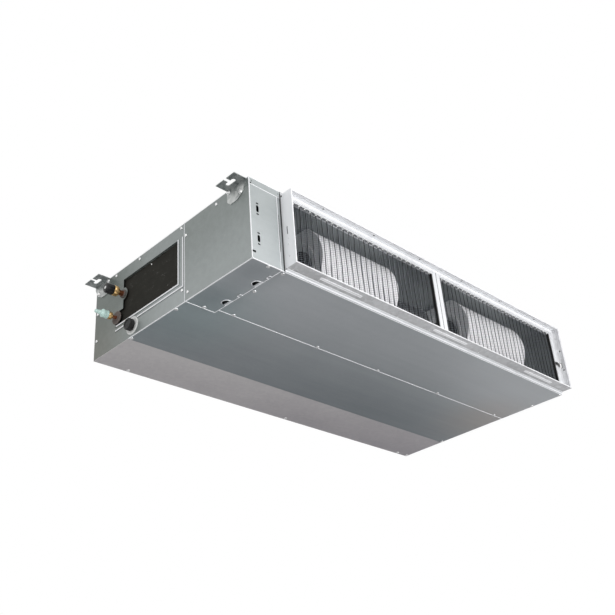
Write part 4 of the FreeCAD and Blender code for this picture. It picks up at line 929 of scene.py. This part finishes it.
class UNIT_OT_collar(bpy.types.Operator):
    """Roll the collar's hems and set its rivets"""
    bl_idname = "unit.collar"
    bl_label = "Return collar"

    def execute(self, context):
        low, high = extent("return_collar")
        low = low + np.array([0.0, 0.0, PAD_DROP])
        front = low[1]
        bottom = low[2] - PAD_DROP
        wall = high[2] - WALL
        inner = high[0] - WALL

        def along(y, z, inset=2):
            """A straight run along the collar."""
            return [[low[0] + inset, y, z], [high[0] - inset, y, z]]

        hem = carried(circle_outline(1.1, 8), rectangle(low, high, 3.4, front + 1.3), -Y, loop=True)
        fold = carried(half_round(1.0, 0.35), rectangle(low, high, 2.9, front + 8.2), -Y, loop=True)
        make("collar_hem", [hem, fold], "bright_steel")
        runs = [along(front + step, low[2]) for step in (8.6, 1.0)]
        bead("collar_lower_lines", runs, -Z, 1.0, 0.35, "bright_steel")
        # Two darker lines on the upper wall: the one behind the hem is painted shadow under the hem, the
        # other marks the joint of the wall and the frame
        runs = [along(front + step, wall) for step in (4.6, 22.5)]
        bead("collar_upper_shadow_and_joint_lines", runs, -Z, 0.9, 0.35, "casing_steel")
        # A pale satin strip on the collar's upper wall: painted light that makes the wall look lit
        bead("collar_upper_painted_light", [along(front + 14.0, wall, 3)], -Z, 17.0, 0.15, "filter_aluminium")
        self.plugs(low, high)
        notch = grid(inner, (-20.0, -24.0, -24.0, -20.0), (93.5, 93.5, 110.5, 110.5))
        bead("collar_notch_lip", [notch], -X, 1.8, 0.5, "black_rubber")
        self.rivets(low)
        middle = (low[0] + high[0]) / 2
        rims = []
        for x in (middle - PAD_PITCH, middle, middle + PAD_PITCH):
            left, right = x - PAD_HALF, x + PAD_HALF
            corners = grid((left, right, right, left), (-27.0, -27.0, -19.0, -19.0), bottom)
            rims.append(carried(half_round(1.3, 0.4), corners, -Z, loop=True))
        make("collar_pad_rims", rims, "bright_steel")
        # The collar's rear fold in pale satin: a real fold, with a painted highlight along it
        bead("collar_rear_fold_highlight", [along(-4.0, bottom)], -Z, 7.0, 1.4, "filter_aluminium")
        liner = bars([low[0] + 0.2, -17.8, 108.4], [low[0] + 0.9, -15.2, 131.6], 0.2)
        make("collar_slot_liner", [liner], "black_rubber")
        return {"FINISHED"}

    def plugs(self, low, high):
        """Flat black plugs in the duct screw holes of the upper and the right wall, and one at the left."""
        steps = (np.arange(6) - 2.5) * DUCT_SCREW_PITCH
        row = low[1] + 12.0
        bottom = low[2] - PAD_DROP
        tall = high[2] - low[2] + PAD_DROP
        holes = [((x, row, high[2] - WALL), -Z, 2.7, 0.5) for x in (low[0] + high[0]) / 2 + steps]
        holes += [((high[0] - WALL, row, bottom + share * tall), -X, 2.7, 0.5) for share in (0.32, 0.63)]
        holes.append(((low[0], -3.2, high[2] - 6.0), -X, 2.6, 0.4))
        make("collar_plugs", [screw_head(np.array(hole[0]), *hole[1:], 12) for hole in holes], "black_rubber")

    def rivets(self, low):
        """Small domed rivets below the lower wall, by x from the left and y, and on the left wall, by y and
        z."""
        below = ((18, -9), (30, -14), (108, -12), (424, -8), (560, -11), (800, -10), (1130, -12))
        rivets = [screw_head(np.array([low[0] + x, y, low[2]]), -Z, 2.2, 1.0) for x, y in below]
        beside = ((-20, 93), (-18, 76), (-18, 40))
        rivets += [screw_head(np.array([low[0], y, z]), -X, 1.8, 0.5) for y, z in beside]
        make("collar_rivets", rivets, "screw_steel")


# Widths of a filter's plain stiles and rails, and of the right filter's stile with the strap
STILE = 18.0
HANDLE_STILE = 28.0


class UNIT_OT_filters(bpy.types.Operator):
    """Weave the pleated nets and fit their clips, black strips, painted gap shadow and pull strap"""
    bl_idname = "unit.filters"
    bl_label = "Filters"

    def execute(self, context):
        sizes = context.scene.unit_net
        for side in ("left", "right"):
            self.net(side, sizes)
            self.trim(side, sizes)
        self.strap()
        return {"FINISHED"}

    def net(self, side, sizes):
        """Net wires follow y = near + depth * triangle(x), and pleat wires stand in the near folds and sway
        a little: x = fold + 1.3 sin(z / 26 + 0.55 i)."""
        low, high = extent(side + "_filter_mesh")
        count = int(round((high[0] - low[0]) / (sizes.pleats / 2)))
        half = (high[0] - low[0]) / count
        near = low[1] + 0.4
        depth = high[1] - low[1] - 0.8
        folds = np.arange(count + 1)
        fold_x = low[0] + folds * half
        fold_y = near + (folds % 2) * depth
        heights = np.arange(low[2] + 1.0, high[2] - 0.5, sizes.pitch)
        across = grid(fold_x, fold_y, heights[:, None])
        stations = np.arange(low[0] + 1.0, high[0] - 0.5, sizes.pitch)[:, None]
        upright = grid(stations, np.interp(stations, fold_x, fold_y), (low[2], high[2]))
        patches = [wires(across, sizes.wire / 2, 4, Y, Z), wires(upright, sizes.wire / 2, 4, X, Y)]
        body = side + "_filter"
        make(side + "_net", patches, "filter_net", body, (side + "_filter_mesh",))
        crests = fold_x[::2]
        crests = crests[(crests > low[0] + 9) & (crests < high[0] - 9)]
        z = np.linspace(low[2] + 1, high[2] - 1, 20)
        sway = 1.3 * np.sin(z[None, :] / 26.0 + 0.55 * np.arange(len(crests))[:, None])
        pleats = grid(crests[:, None] + sway, near - 0.2, z)
        make(side + "_pleat_wires", [wires(pleats, sizes.crest, 6, X, Y)], "black_rubber", body)

    def trim(self, side, sizes):
        """Clips over every pleat at the top, a black strip along the inner side of the right stile, pressed
        lines on the frame, and a black bar in the gap where the filters meet, a painted shadow."""
        low, high = extent(side + "_filter_frame")
        first = extent(side + "_filter_mesh")[0][0] + sizes.pleats / 2
        body = side + "_filter"
        top = high[2] - STILE
        inner = high[0] - (STILE if side == "left" else HANDLE_STILE)
        crests = np.arange(first + 9, inner - 6, sizes.pleats)
        corner = np.array([-3.0, low[1] + 1.2, top - 3.0]) + crests[:, None] * X
        clips = bars(corner, corner + np.array([6.0, 1.4, 2.7]), 0.5)
        make(side + "_net_clips", [clips], "white_plastic", body)
        dark_strip = bars([inner - 4.5, low[1] + 1.0, low[2] + STILE + 0.2],
                    [inner - 0.3, high[1] - 1.5, top - 0.2], 0.5, 2)
        make(side + "_net_dark_strip", [dark_strip], "black_rubber", body)
        window = rectangle(low + STILE * (X + Z), [inner, low[1], top], -0.8, low[1])
        lines = [carried(half_round(1.2, 0.3), window, -Y, loop=True)]
        for z in (low[2] + 6.0, low[2] + 12.5, high[2] - 12.5, high[2] - 6.0):
            run = [[low[0] + 12.0, low[1], z], [high[0] - 12.0, low[1], z]]
            lines.append(carried(half_round(0.9, 0.25), run, -Y))
        make(side + "_frame_lines", lines, "shaft_steel", body)
        if side == "left":
            # A black bar in the gap where the filters meet: painted shadow, as the narrow gap falls in shade
            meeting_shadow = bars([high[0] - 0.2, low[1] - 0.3, low[2] + 1.0],
                         [high[0] + 1.5, low[1] + 1.5, high[2] - 1.0], 0.3, 2)
            make("filter_meeting_shadow", [meeting_shadow], "black_rubber", body)

    def strap(self):
        """A flat strap bowed over the stile: y = front - bulge * sin(pi t)^0.6 along its length, a little
        lower at its far end."""
        low, high = extent("filter_pull_strap")
        t = np.linspace(0.0, 1.0, 25)
        reach = low[0] + 0.8 + t * (high[0] - low[0] - 1.6)
        bulge = (high[1] - low[1] - 4.4) * np.sin(np.pi * np.clip(t * 0.93 + 0.05, 0, 1)) ** 0.6
        path = grid(reach, high[1] - 3.6 - bulge, (low[2] + high[2]) / 2 + 3.2 * (1.0 - 2.0 * t))
        width = (high[2] - low[2]) / 2
        outline = [[-0.8, -width], [0.8, -width], [0.8, width], [-0.8, width]]
        make("pull_strap", [carried(outline, path, Z)], "strap_webbing", "right_filter",
             ("filter_pull_strap",))


# The bell mouth's throat, the scroll's first radius, and its growth in millimetres for each degree
THROAT = 66.0
SCROLL_START = 88.0
SCROLL_GROWTH = 0.18


class UNIT_OT_fans(bpy.types.Operator):
    """Build the fan wheels, bell mouths and scroll edges"""
    bl_idname = "unit.fans"
    bl_label = "Fans"

    def execute(self, context):
        sizes = context.scene.unit_fan
        for side in ("left", "right"):
            low, high = extent(side + "_fan_wheel")
            centre = (low + high) / 2
            self.wheel(side, centre, (high[0] - low[0]) / 2, (high[2] - low[2]) / 2, sizes)
            self.mouths(side, centre)
            self.edges(side, centre)
        return {"FINISHED"}

    def wheel(self, side, centre, half, radius, sizes):
        """Each blade is a thin crescent: angle = sweep * s^1.7 and radius = inner + s * depth for s from 0
        to 1, half a thickness to either side, copied round the shaft."""
        inner = radius - 12.0
        outer = radius - 0.8
        s = np.linspace(0.0, 1.0, 6)
        r = inner + s * (outer - inner)
        lean = sizes.sweep * s ** 1.7
        thick = 0.011 * (1.15 - 0.5 * s)
        angles = np.concatenate([lean - thick, (lean + thick)[::-1]])
        radii = np.concatenate([r, r[::-1]])
        turns = np.arange(sizes.blades)[:, None] * 2 * np.pi / sizes.blades
        a = (angles[None, :] + turns)[:, None, :]
        ends = np.array([-half + 1.5, half - 1.5])[:, None]
        points = grid(centre[0] + ends, centre[1] + radii * np.cos(a), centre[2] + radii * np.sin(a))
        patches = [sheets(shut(points), around=True)]
        for end in (-1, 1):
            rim = end * half
            back = end * (half - 4.0)
            band = [(rim, inner - 1), (rim, outer), (rim - end * 0.8, radius), (back, radius),
                    (back, radius - 1.5), (back, inner - 1)]
            patches.append(ring(band, centre, sides=72))
        disc = [(-1.0, 17.0), (-1.0, radius - 1.4), (-0.4, radius - 0.4), (0.4, radius - 0.4),
                (1.0, radius - 1.4), (1.0, 17.0), (15.0, 16.2), (15.0, 6.4), (-15.0, 6.4), (-15.0, 16.2)]
        patches.append(ring(disc, centre, sides=60))
        make(side + "_wheel", patches, "wheel_plastic", "fan_rotor", (side + "_fan_wheel",))

    def mouths(self, side, centre):
        """A bell mouth one sheet thick: a flange, then a flare from the plate in to the throat, whose radius
        is throat + 13.2 (1 - sin(t)^0.9) cos(t)^0.3."""
        low, high = extent(side + "_fan_inlet_rings")
        patches = []
        t = np.linspace(0.0, np.pi / 2, 10)
        for end, face in ((-1, low[0]), (1, high[0])):
            flare = THROAT + 13.2 * (1 - np.sin(t) ** 0.9) * np.cos(t) ** 0.3
            outer = np.stack([-end * (11.4 * np.sin(t)), flare], axis=1)
            outer[-1, 1] = THROAT
            inner = outer[::-1] + np.array([0.0, WALL])
            inner[-1] = (-end * 1.3, 79.2)
            loop = np.vstack([[(0.0, 87.0)], outer, inner, [(-end * 1.3, 87.6)]])
            patches.append(ring(loop, [face, centre[1], centre[2]], sides=72))
        make(side + "_bell_mouths", patches, "scroll_steel", replaces=(side + "_fan_inlet_rings",))

    def edges(self, side, centre):
        """Rolled edges along the spiral on both side plates, up to the roof: the radius is start + growth *
        travel, with the travel in degrees."""
        low, high = extent(side + "_scroll_lower")
        top = extent(side + "_scroll_upper")[1][2] - 8.0
        travel = np.linspace(0.0, 250.0, 90)
        a = np.radians(-20.0 - travel)
        r = SCROLL_START + SCROLL_GROWTH * travel + 0.4
        y = centre[1] + r * np.cos(a)
        z = centre[2] + r * np.sin(a)
        keep = z < top - 1.0
        patches = []
        for x in (low[0] + 9.6, high[0] - 9.6):
            patches.append(tube(grid(x, y[keep], z[keep]), 2.2, 8))
        make(side + "_scroll_edges", patches, "scroll_steel")


class UNIT_OT_motor(bpy.types.Operator):
    """Turn the motor with its end shields and cooling ribs"""
    bl_idname = "unit.motor"
    bl_label = "Motor"

    def execute(self, context):
        low, high = extent("motor_housing")
        centre = (low + high) / 2
        end = (high[0] - low[0]) / 2
        half = end - 14.0
        radius = (high[2] - low[2]) / 2 - 1.0
        t = np.linspace(0.0, np.pi / 2, 6)
        shoulder = [(half - 8 + 8 * math.sin(a), radius - 8 + 8 * math.cos(a)) for a in t]
        profile = [(-end, 6.6), (-end, 28.5), (-end + 1.5, 30.0), (-half, 30.0)]
        profile += [(-x, r) for x, r in shoulder[::-1]]
        for foot in (22 - half, half - 29):
            profile += [(foot, radius), (foot + 1, radius + 1), (foot + 6, radius + 1), (foot + 7, radius)]
        profile += shoulder + [(half, 30.0), (end - 1.5, 30.0), (end, 28.5), (end, 6.6)]
        patches = [ring(profile, centre, sides=72)]
        make("motor_body", patches, "motor_paint", replaces=("motor_housing",))
        return {"FINISHED"}


# The coil's tilt, its rows deep and tubes tall with their pitches, and its foot: a distance behind the drain
# pan's front, and a height
COIL_TILT = math.radians(40.0)
ROWS = 3
TUBES = 10
ROW_PITCH = 22.0
TUBE_PITCH = 21.0
COIL_FOOT = (30.0, 75.0)

# Radii of the gas header, the gas pipe and the liquid pipe
HEADER = 11.0
GAS_PIPE = 7.94
LIQUID_PIPE = 4.76


def leaned(points):
    """Coil coordinates to casing ones: turned back about x by the coil's tilt, then set on its foot."""
    points = np.asarray(points, float)
    c, s = math.cos(COIL_TILT), math.sin(COIL_TILT)
    out = points.copy()
    out[..., 1] = points[..., 1] * c + points[..., 2] * s
    out[..., 2] = -points[..., 1] * s + points[..., 2] * c
    out[..., 1] += extent("drain_pan")[0][1] + COIL_FOOT[0]
    out[..., 2] += COIL_FOOT[1]
    return out


def station(row, step, x):
    """Where a tube leaves the coil, in casing coordinates."""
    return leaned(np.array([x, (row + 0.5) * ROW_PITCH, (step + 0.5) * TUBE_PITCH]))


class UNIT_OT_coil(bpy.types.Operator):
    """Stack the fins and bend the hairpins"""
    bl_idname = "unit.coil"
    bl_label = "Coil"

    def execute(self, context):
        sizes = context.scene.unit_coil
        low, high = extent("coil_fin_pack")
        count = int((high[0] - low[0]) / sizes.fin_pitch)
        deep = ROWS * ROW_PITCH
        tall = TUBES * TUBE_PITCH
        x = np.linspace(low[0] + 0.5, high[0] - 0.5, count)
        s = np.linspace(0.0, 1.0, 13)
        wave = 0.35 * np.sin(s * np.pi * 12)
        outline = np.concatenate([np.stack([wave - sizes.fin / 2, s * deep], axis=1),
                                  np.stack([wave + sizes.fin / 2, s * deep], axis=1)[::-1]])
        middle = np.concatenate([wave, wave[::-1]])
        across = np.stack([middle, outline[:, 0], outline[:, 0], middle])
        heights = np.array([0.0, 0.0, tall, tall])[:, None]
        points = grid(x[:, None, None] + across, outline[:, 1], heights)
        make("coil_fins", [sheets(leaned(points), around=True)], "fin_aluminium", replaces=("coil_fin_pack",))
        plates = islands("coil_end_plates")
        left_face = min(box[0][0] for box in plates)
        right_face = max(box[1][0] for box in plates)
        patches = []
        t = np.linspace(0.0, np.pi, 14)
        half = TUBE_PITCH / 2
        for step in range(1, TUBES - 2, 2):
            for face, out, row in ((left_face, -1, 0), (right_face, 1, 0), (right_face, 1, 2)):
                y = (row + 0.5) * ROW_PITCH
                z = (step + 1) * TUBE_PITCH
                arc = grid(face + out * (5.0 + half * np.sin(t)), y, z - half * np.cos(t))
                foot = face + out * 0.05
                path = np.vstack([[[foot, y, z - half]], arc, [[foot, y, z + half]]])
                patches.append(tube(leaned(path), sizes.tube, 14))
        make("hairpins", patches, "copper_tube", replaces=("coil_return_bends",))
        return {"FINISHED"}


class UNIT_OT_pipes(bpy.types.Operator):
    """Bend the gas and liquid pipes and their header"""
    bl_idname = "unit.pipes"
    bl_label = "Pipes"

    def execute(self, context):
        sizes = context.scene.unit_coil
        gas = middle_of("gas_fitting")
        liquid = middle_of("liquid_fitting")
        plate = extent("coil_fin_pack")[0][0] - 2.0
        x = (30.0 + plate + 2.0) / 2
        low = station(ROWS - 1, 0, x)
        top = station(ROWS - 1, TUBES - 1, x)
        along = unit(top - low)
        header = np.linspace(0.0, 1.0, 12)[:, None] * (top - low + 15.0 * along) + low - 7.5 * along
        patches = [tube(header, HEADER, 28)]
        for step in range(0, TUBES, 3):
            start = station(ROWS - 1, step, x)
            end = start + X * (plate - x)
            patches.append(tube([start, (start + end) / 2, end], sizes.tube, 14))
        run = bent([[-20.0, gas[1], gas[2]], [x, gas[1], gas[2]], (low + top) / 2], 20.0)
        patches.append(tube(run, GAS_PIPE, 28))
        make("gas_pipes", patches, "copper_tube", replaces=("gas_header",))
        x = 50.0
        meet = station(1, 2, x)
        run = bent([[-20.0, liquid[1], liquid[2]], [x, liquid[1], liquid[2]], meet,
                    [plate, meet[1], meet[2]]], 14.0)
        make("liquid_pipe", [tube(run, LIQUID_PIPE, 22)], "copper_tube", replaces=("liquid_header",))
        return {"FINISHED"}


class UNIT_OT_fittings(bpy.types.Operator):
    """Turn the flare fittings, their caps and the grommets"""
    bl_idname = "unit.fittings"
    bl_label = "Fittings and caps"

    def execute(self, context):
        self.fitting("gas_fitting", "gas_flare_fitting", 26.0, 16.0, 11.0)
        self.fitting("liquid_fitting", "liquid_flare_fitting", 19.0, 13.0, 8.0)
        self.gas_cap()
        self.liquid_cap()
        self.drain()
        for node, bore in (("gas_grommet", 8.2), ("liquid_grommet", 5.0)):
            self.grommet(node, bore)
        return {"FINISHED"}

    def fitting(self, node, name, width, length, radius):
        """A chamfered nut, then a thread whose radius is R + depth * cos(2 pi x / pitch - a)."""
        low, high = extent(node)
        centre = (low + high) / 2
        face = high[0]
        pitch, depth = 1.5, 0.45
        a = round_turn(72)
        flat = hexagon(a, width)
        rows = [(face, 0.42), (face, 0.5), (face - 1.5, 0.577), (face - length + 1.5, 0.577),
                (face - length, 0.5), (face - length, 0.42)]
        nut = []
        for x, cap in rows:
            r = np.minimum(flat, width * cap)
            nut.append(grid(x, centre[1] + r * np.sin(a), centre[2] + r * np.cos(a)))
        x = np.linspace(face - length, low[0], 90)[:, None]
        ramp = np.clip(np.minimum(x - low[0], face - length - x) / 1.2, 0.0, 1.0)
        r = radius - 0.5 + depth * np.cos(2 * np.pi * x / pitch - a[None, :]) * ramp - 0.6 * (1 - ramp)
        thread = grid(x, centre[1] + r * np.sin(a), centre[2] + r * np.cos(a))
        patches = [sheets(shut(rows)[None], around=True) for rows in (np.array(nut), thread)]
        make(name, patches, "brass_fitting", replaces=(node,))

    def cap(self, node, profile, slot, ripple):
        """A cap turned from its open end to its crown and back up its bore."""
        centre = middle_of(node)
        centre[0] = extent(node)[1][0]
        make(node + "_moulding", [turned(profile, centre, -X, 96, ripple)], slot, node + "_body", (node,))

    def gas_cap(self):
        """Twelve soft flutes: the radius is multiplied by 1 + 0.018 cos 12 a on the outer wall."""
        low, high = extent("gas_cap")
        length = high[0] - low[0]
        outer = [(0.0, 12.2), (0.0, 14.6), (0.8, 15.2), (length - 5.5, 15.2), (length - 3.5, 14.6),
                 (length - 1.6, 13.3), (length - 0.4, 11.6), (length - 0.1, 9.0), (length - 0.1, 0.0)]
        bore = [(length - 3.6, 0.0), (length - 3.6, 11.4), (0.6, 11.4)]

        def flutes(along, a):
            return 1.0 + 0.018 * np.cos(12 * a) * (along > 0.5) * (along < length - 5)

        self.cap("gas_cap", bore + outer, "black_cap", flutes)
        centre = (low + high) / 2
        centre[0] = low[0] + 0.1
        dot = [(0.0, 0.0), (0.0, 4.2), (-0.35, 4.5), (-0.7, 4.0), (-0.7, 0.0)]
        make("gas_cap_dot", [turned(dot, centre, X, 24)], "white_plastic", "gas_cap_body")

    def liquid_cap(self):
        """Sixteen fine grips on the wide part, where the radius is multiplied by 1 + 0.02 cos 16 a, and a
        stepped, tapering tip."""
        low, high = extent("liquid_cap")
        length = high[0] - low[0]
        wide = length - 22.0
        outer = [(0.0, 9.2), (0.0, 11.7), (0.7, 12.3), (3.4, 12.3), (4.0, 11.4), (wide - 4.6, 11.4),
                 (wide - 4.0, 12.1), (wide - 1.5, 12.1), (wide, 11.0), (wide + 1.6, 8.4), (wide + 3.5, 6.4),
                 (wide + 11.0, 6.0), (wide + 11.6, 5.6), (length - 3.5, 5.4), (length - 0.8, 4.6),
                 (length - 0.1, 3.2), (length - 0.1, 0.0)]
        bore = [(13.0, 0.0), (13.0, 8.4), (0.5, 8.4)]

        def grips(along, a):
            return 1.0 + 0.02 * np.cos(16 * a) * (along > 0.5) * (along < wide - 1)

        self.cap("liquid_cap", bore + outer, "mint_cap", grips)

    def drain(self):
        """Six round lobes: the outer radius is multiplied by 0.96 + 0.13 |cos 3 a|^(1/2)."""
        low, high = extent("drain_cap")
        length = high[0] - low[0]
        outer = [(0.0, 13.8), (0.0, 15.4), (0.8, 16.0), (length - 1.6, 16.0), (length - 0.4, 15.0),
                 (length - 0.1, 13.5), (length - 0.1, 11.5), (length - 1.6, 10.8), (length - 1.6, 0.0)]
        bore = [(length - 3.1, 0.0), (length - 3.1, 13.3), (0.5, 13.3)]

        def lobes(along, a):
            lobe = 0.13 * np.sqrt(abs(np.cos(3 * a))) - 0.04
            return 1.0 + lobe * (along > 0.5) * (along < length - 0.3)

        self.cap("drain_cap", bore + outer, "black_cap", lobes)
        low, high = extent("drain_spigot")
        centre = (low + high) / 2
        centre[0] = 0.0
        reach = -low[0]
        radius = (high[2] - low[2]) / 2
        plate = [(-reach, 10.6), (-reach, 12.4), (-reach + 0.8, 13.0), (-2.0, 13.0), (-2.0, radius - 4.2),
                 (-2.6, radius - 3.4), (-2.6, radius - 1.4), (-1.8, radius - 0.2), (0.0, radius), (0.0, 13.4),
                 (high[0], 13.0), (high[0], 10.6)]
        make("drain_outlet", [ring(plate, centre, sides=72)], "white_plastic", replaces=("drain_spigot",))

    def grommet(self, node, bore):
        """A rubber ring with a rounded lip and a shallow groove."""
        low, high = extent(node)
        centre = (low + high) / 2
        centre[0] = high[0]
        thick = high[0] - low[0]
        radius = (high[2] - low[2]) / 2
        t = np.linspace(0.0, np.pi, 8)
        lip = [(-thick / 2 + thick / 2 * math.cos(a), radius - 1.2 + 1.2 * math.sin(a)) for a in t]
        inner = [(-thick + 0.2, radius - 4), (-thick + 1.4, radius - 6), (-thick + 1.4, bore + 3),
                 (-thick, bore + 2), (-thick, bore), (0.0, bore)]
        make(node + "_moulding", [ring(lip + inner, centre, sides=60)], "black_foam", replaces=(node,))


# Where the photo's camera stands, in metres from the model's origin
CAMERA_PLACE = (-1.95678, -1.72327, -1.44948)


class UNIT_OT_stage(bpy.types.Operator):
    """Set up the floor, the plain studio light and the camera"""
    bl_idname = "unit.stage"
    bl_label = "Stage"

    def execute(self, context):
        settings = context.scene.unit_stage
        self.world(context.scene, settings)
        self.floor()
        self.lamp("front_lamp", (0.2, -4.3, -1.5), (0.1, 0.0, -0.15), 3.0, settings.key)
        self.lamp("side_lamp", (-4.4, -0.8, 0.3), (-0.3, 0.0, -0.1), 2.4, settings.fill)
        self.camera(context.scene, settings)
        context.scene.view_settings.view_transform = "Standard"
        return {"FINISHED"}

    def world(self, scene, settings):
        """White behind the object and in its reflections, and a soft even light on the rest."""
        world = bpy.data.worlds.new("studio")
        scene.world = world
        world.use_nodes = True
        tree = world.node_tree
        tree.nodes.clear()
        rays = add_node(tree, "ShaderNodeLightPath").outputs
        bright = rays["Is Camera Ray"]
        for ray in ("Is Transmission Ray", "Is Glossy Ray"):
            sockets = {0: bright, 1: rays[ray]}
            bright = add_node(tree, "ShaderNodeMath", sockets, operation="MAXIMUM").outputs[0]
        sockets = {"Color": (0.96, 0.98, 1.0, 1), "Strength": settings.sky}
        soft = add_node(tree, "ShaderNodeBackground", sockets)
        white = add_node(tree, "ShaderNodeBackground", {"Color": (1, 1, 1, 1)})
        sockets = {0: bright, 1: soft.outputs[0], 2: white.outputs[0]}
        both = add_node(tree, "ShaderNodeMixShader", sockets)
        add_node(tree, "ShaderNodeOutputWorld", {"Surface": both.outputs[0]})

    def floor(self):
        """A flat pale sheet well below the hanging unit."""
        s = np.linspace(-6.0, 6.0, 13)
        points = grid(s[:, None], s[None, :], -2.4)
        mesh = bpy.data.meshes.new("floor")
        mesh.from_pydata(points.reshape(-1, 3).tolist(), [], quads(13, 13)[:, ::-1].tolist())
        plane = bpy.data.objects.new("floor", mesh)
        bpy.context.scene.collection.objects.link(plane)
        finish = Finish("floor", 0.0, 0.8)
        cloud = finish.noise(1.5, detail=2.0)
        finish.colour(cloud, (0.3, (0.66, 0.66, 0.66)), (0.7, (0.7, 0.7, 0.7)))
        mesh.materials.append(finish.material)

    def lamp(self, name, place, target, size, power):
        """A square soft lamp facing a point."""
        light = bpy.data.lights.new(name, "AREA")
        light.size = size
        light.energy = power
        lamp = bpy.data.objects.new(name, light)
        bpy.context.scene.collection.objects.link(lamp)
        lamp.location = place
        lamp.rotation_euler = (Vector(target) - Vector(place)).to_track_quat("-Z", "Y").to_euler()

    def camera(self, scene, settings):
        """Forward = (sin h cos p, cos h cos p, sin p), then turned about itself by the roll."""
        h, p, r = settings.heading, settings.pitch, settings.roll
        forward = Vector((math.sin(h) * math.cos(p), math.cos(h) * math.cos(p), math.sin(p)))
        level = forward.cross(Vector((0, 0, 1))).normalized()
        upright = level.cross(forward)
        right = level * math.cos(r) + upright * math.sin(r)
        up = upright * math.cos(r) - level * math.sin(r)
        data = bpy.data.cameras.new("camera")
        data.sensor_width = 36.0
        data.lens = settings.lens
        data.clip_start = 0.05
        data.clip_end = 60.0
        camera = bpy.data.objects.new("camera", data)
        scene.collection.objects.link(camera)
        turn = Matrix((right, up, -forward)).transposed().to_4x4()
        camera.matrix_world = Matrix.Translation(CAMERA_PLACE) @ turn
        scene.camera = camera


STEPS = (UNIT_OT_finishes, UNIT_OT_seams, UNIT_OT_window, UNIT_OT_fasteners, UNIT_OT_collar, UNIT_OT_filters,
         UNIT_OT_fans, UNIT_OT_motor, UNIT_OT_coil, UNIT_OT_pipes, UNIT_OT_fittings, UNIT_OT_stage)
GROUPS = {"unit_tones": SheetTones, "unit_net": NetSizes, "unit_fan": FanSizes, "unit_coil": CoilSizes,
          "unit_stage": StageLight}


class UNIT_PT_panel(bpy.types.Panel):
    """The unit's steps and values"""
    bl_idname = "UNIT_PT_panel"
    bl_label = "Ducted indoor unit"
    bl_space_type = "VIEW_3D"
    bl_region_type = "UI"
    bl_category = "Unit"

    def draw(self, context):
        for step in STEPS:
            self.layout.operator(step.bl_idname)
        for name in GROUPS:
            group = getattr(context.scene, name)
            box = self.layout.box()
            for key in group.bl_rna.properties.keys():
                if key not in ("rna_type", "name"):
                    box.prop(group, key)


def register():
    for group in GROUPS.values():
        bpy.utils.register_class(group)
    for name, group in GROUPS.items():
        setattr(bpy.types.Scene, name, PointerProperty(type=group))
    for step in STEPS:
        bpy.utils.register_class(step)
    bpy.utils.register_class(UNIT_PT_panel)


def unregister():
    bpy.utils.unregister_class(UNIT_PT_panel)
    for step in reversed(STEPS):
        bpy.utils.unregister_class(step)
    for name, group in GROUPS.items():
        delattr(bpy.types.Scene, name)
        bpy.utils.unregister_class(group)


def main():
    register()
    for step in STEPS:
        group, name = step.bl_idname.split(".")
        getattr(getattr(bpy.ops, group), name)()


if __name__ == "__main__":
    main()
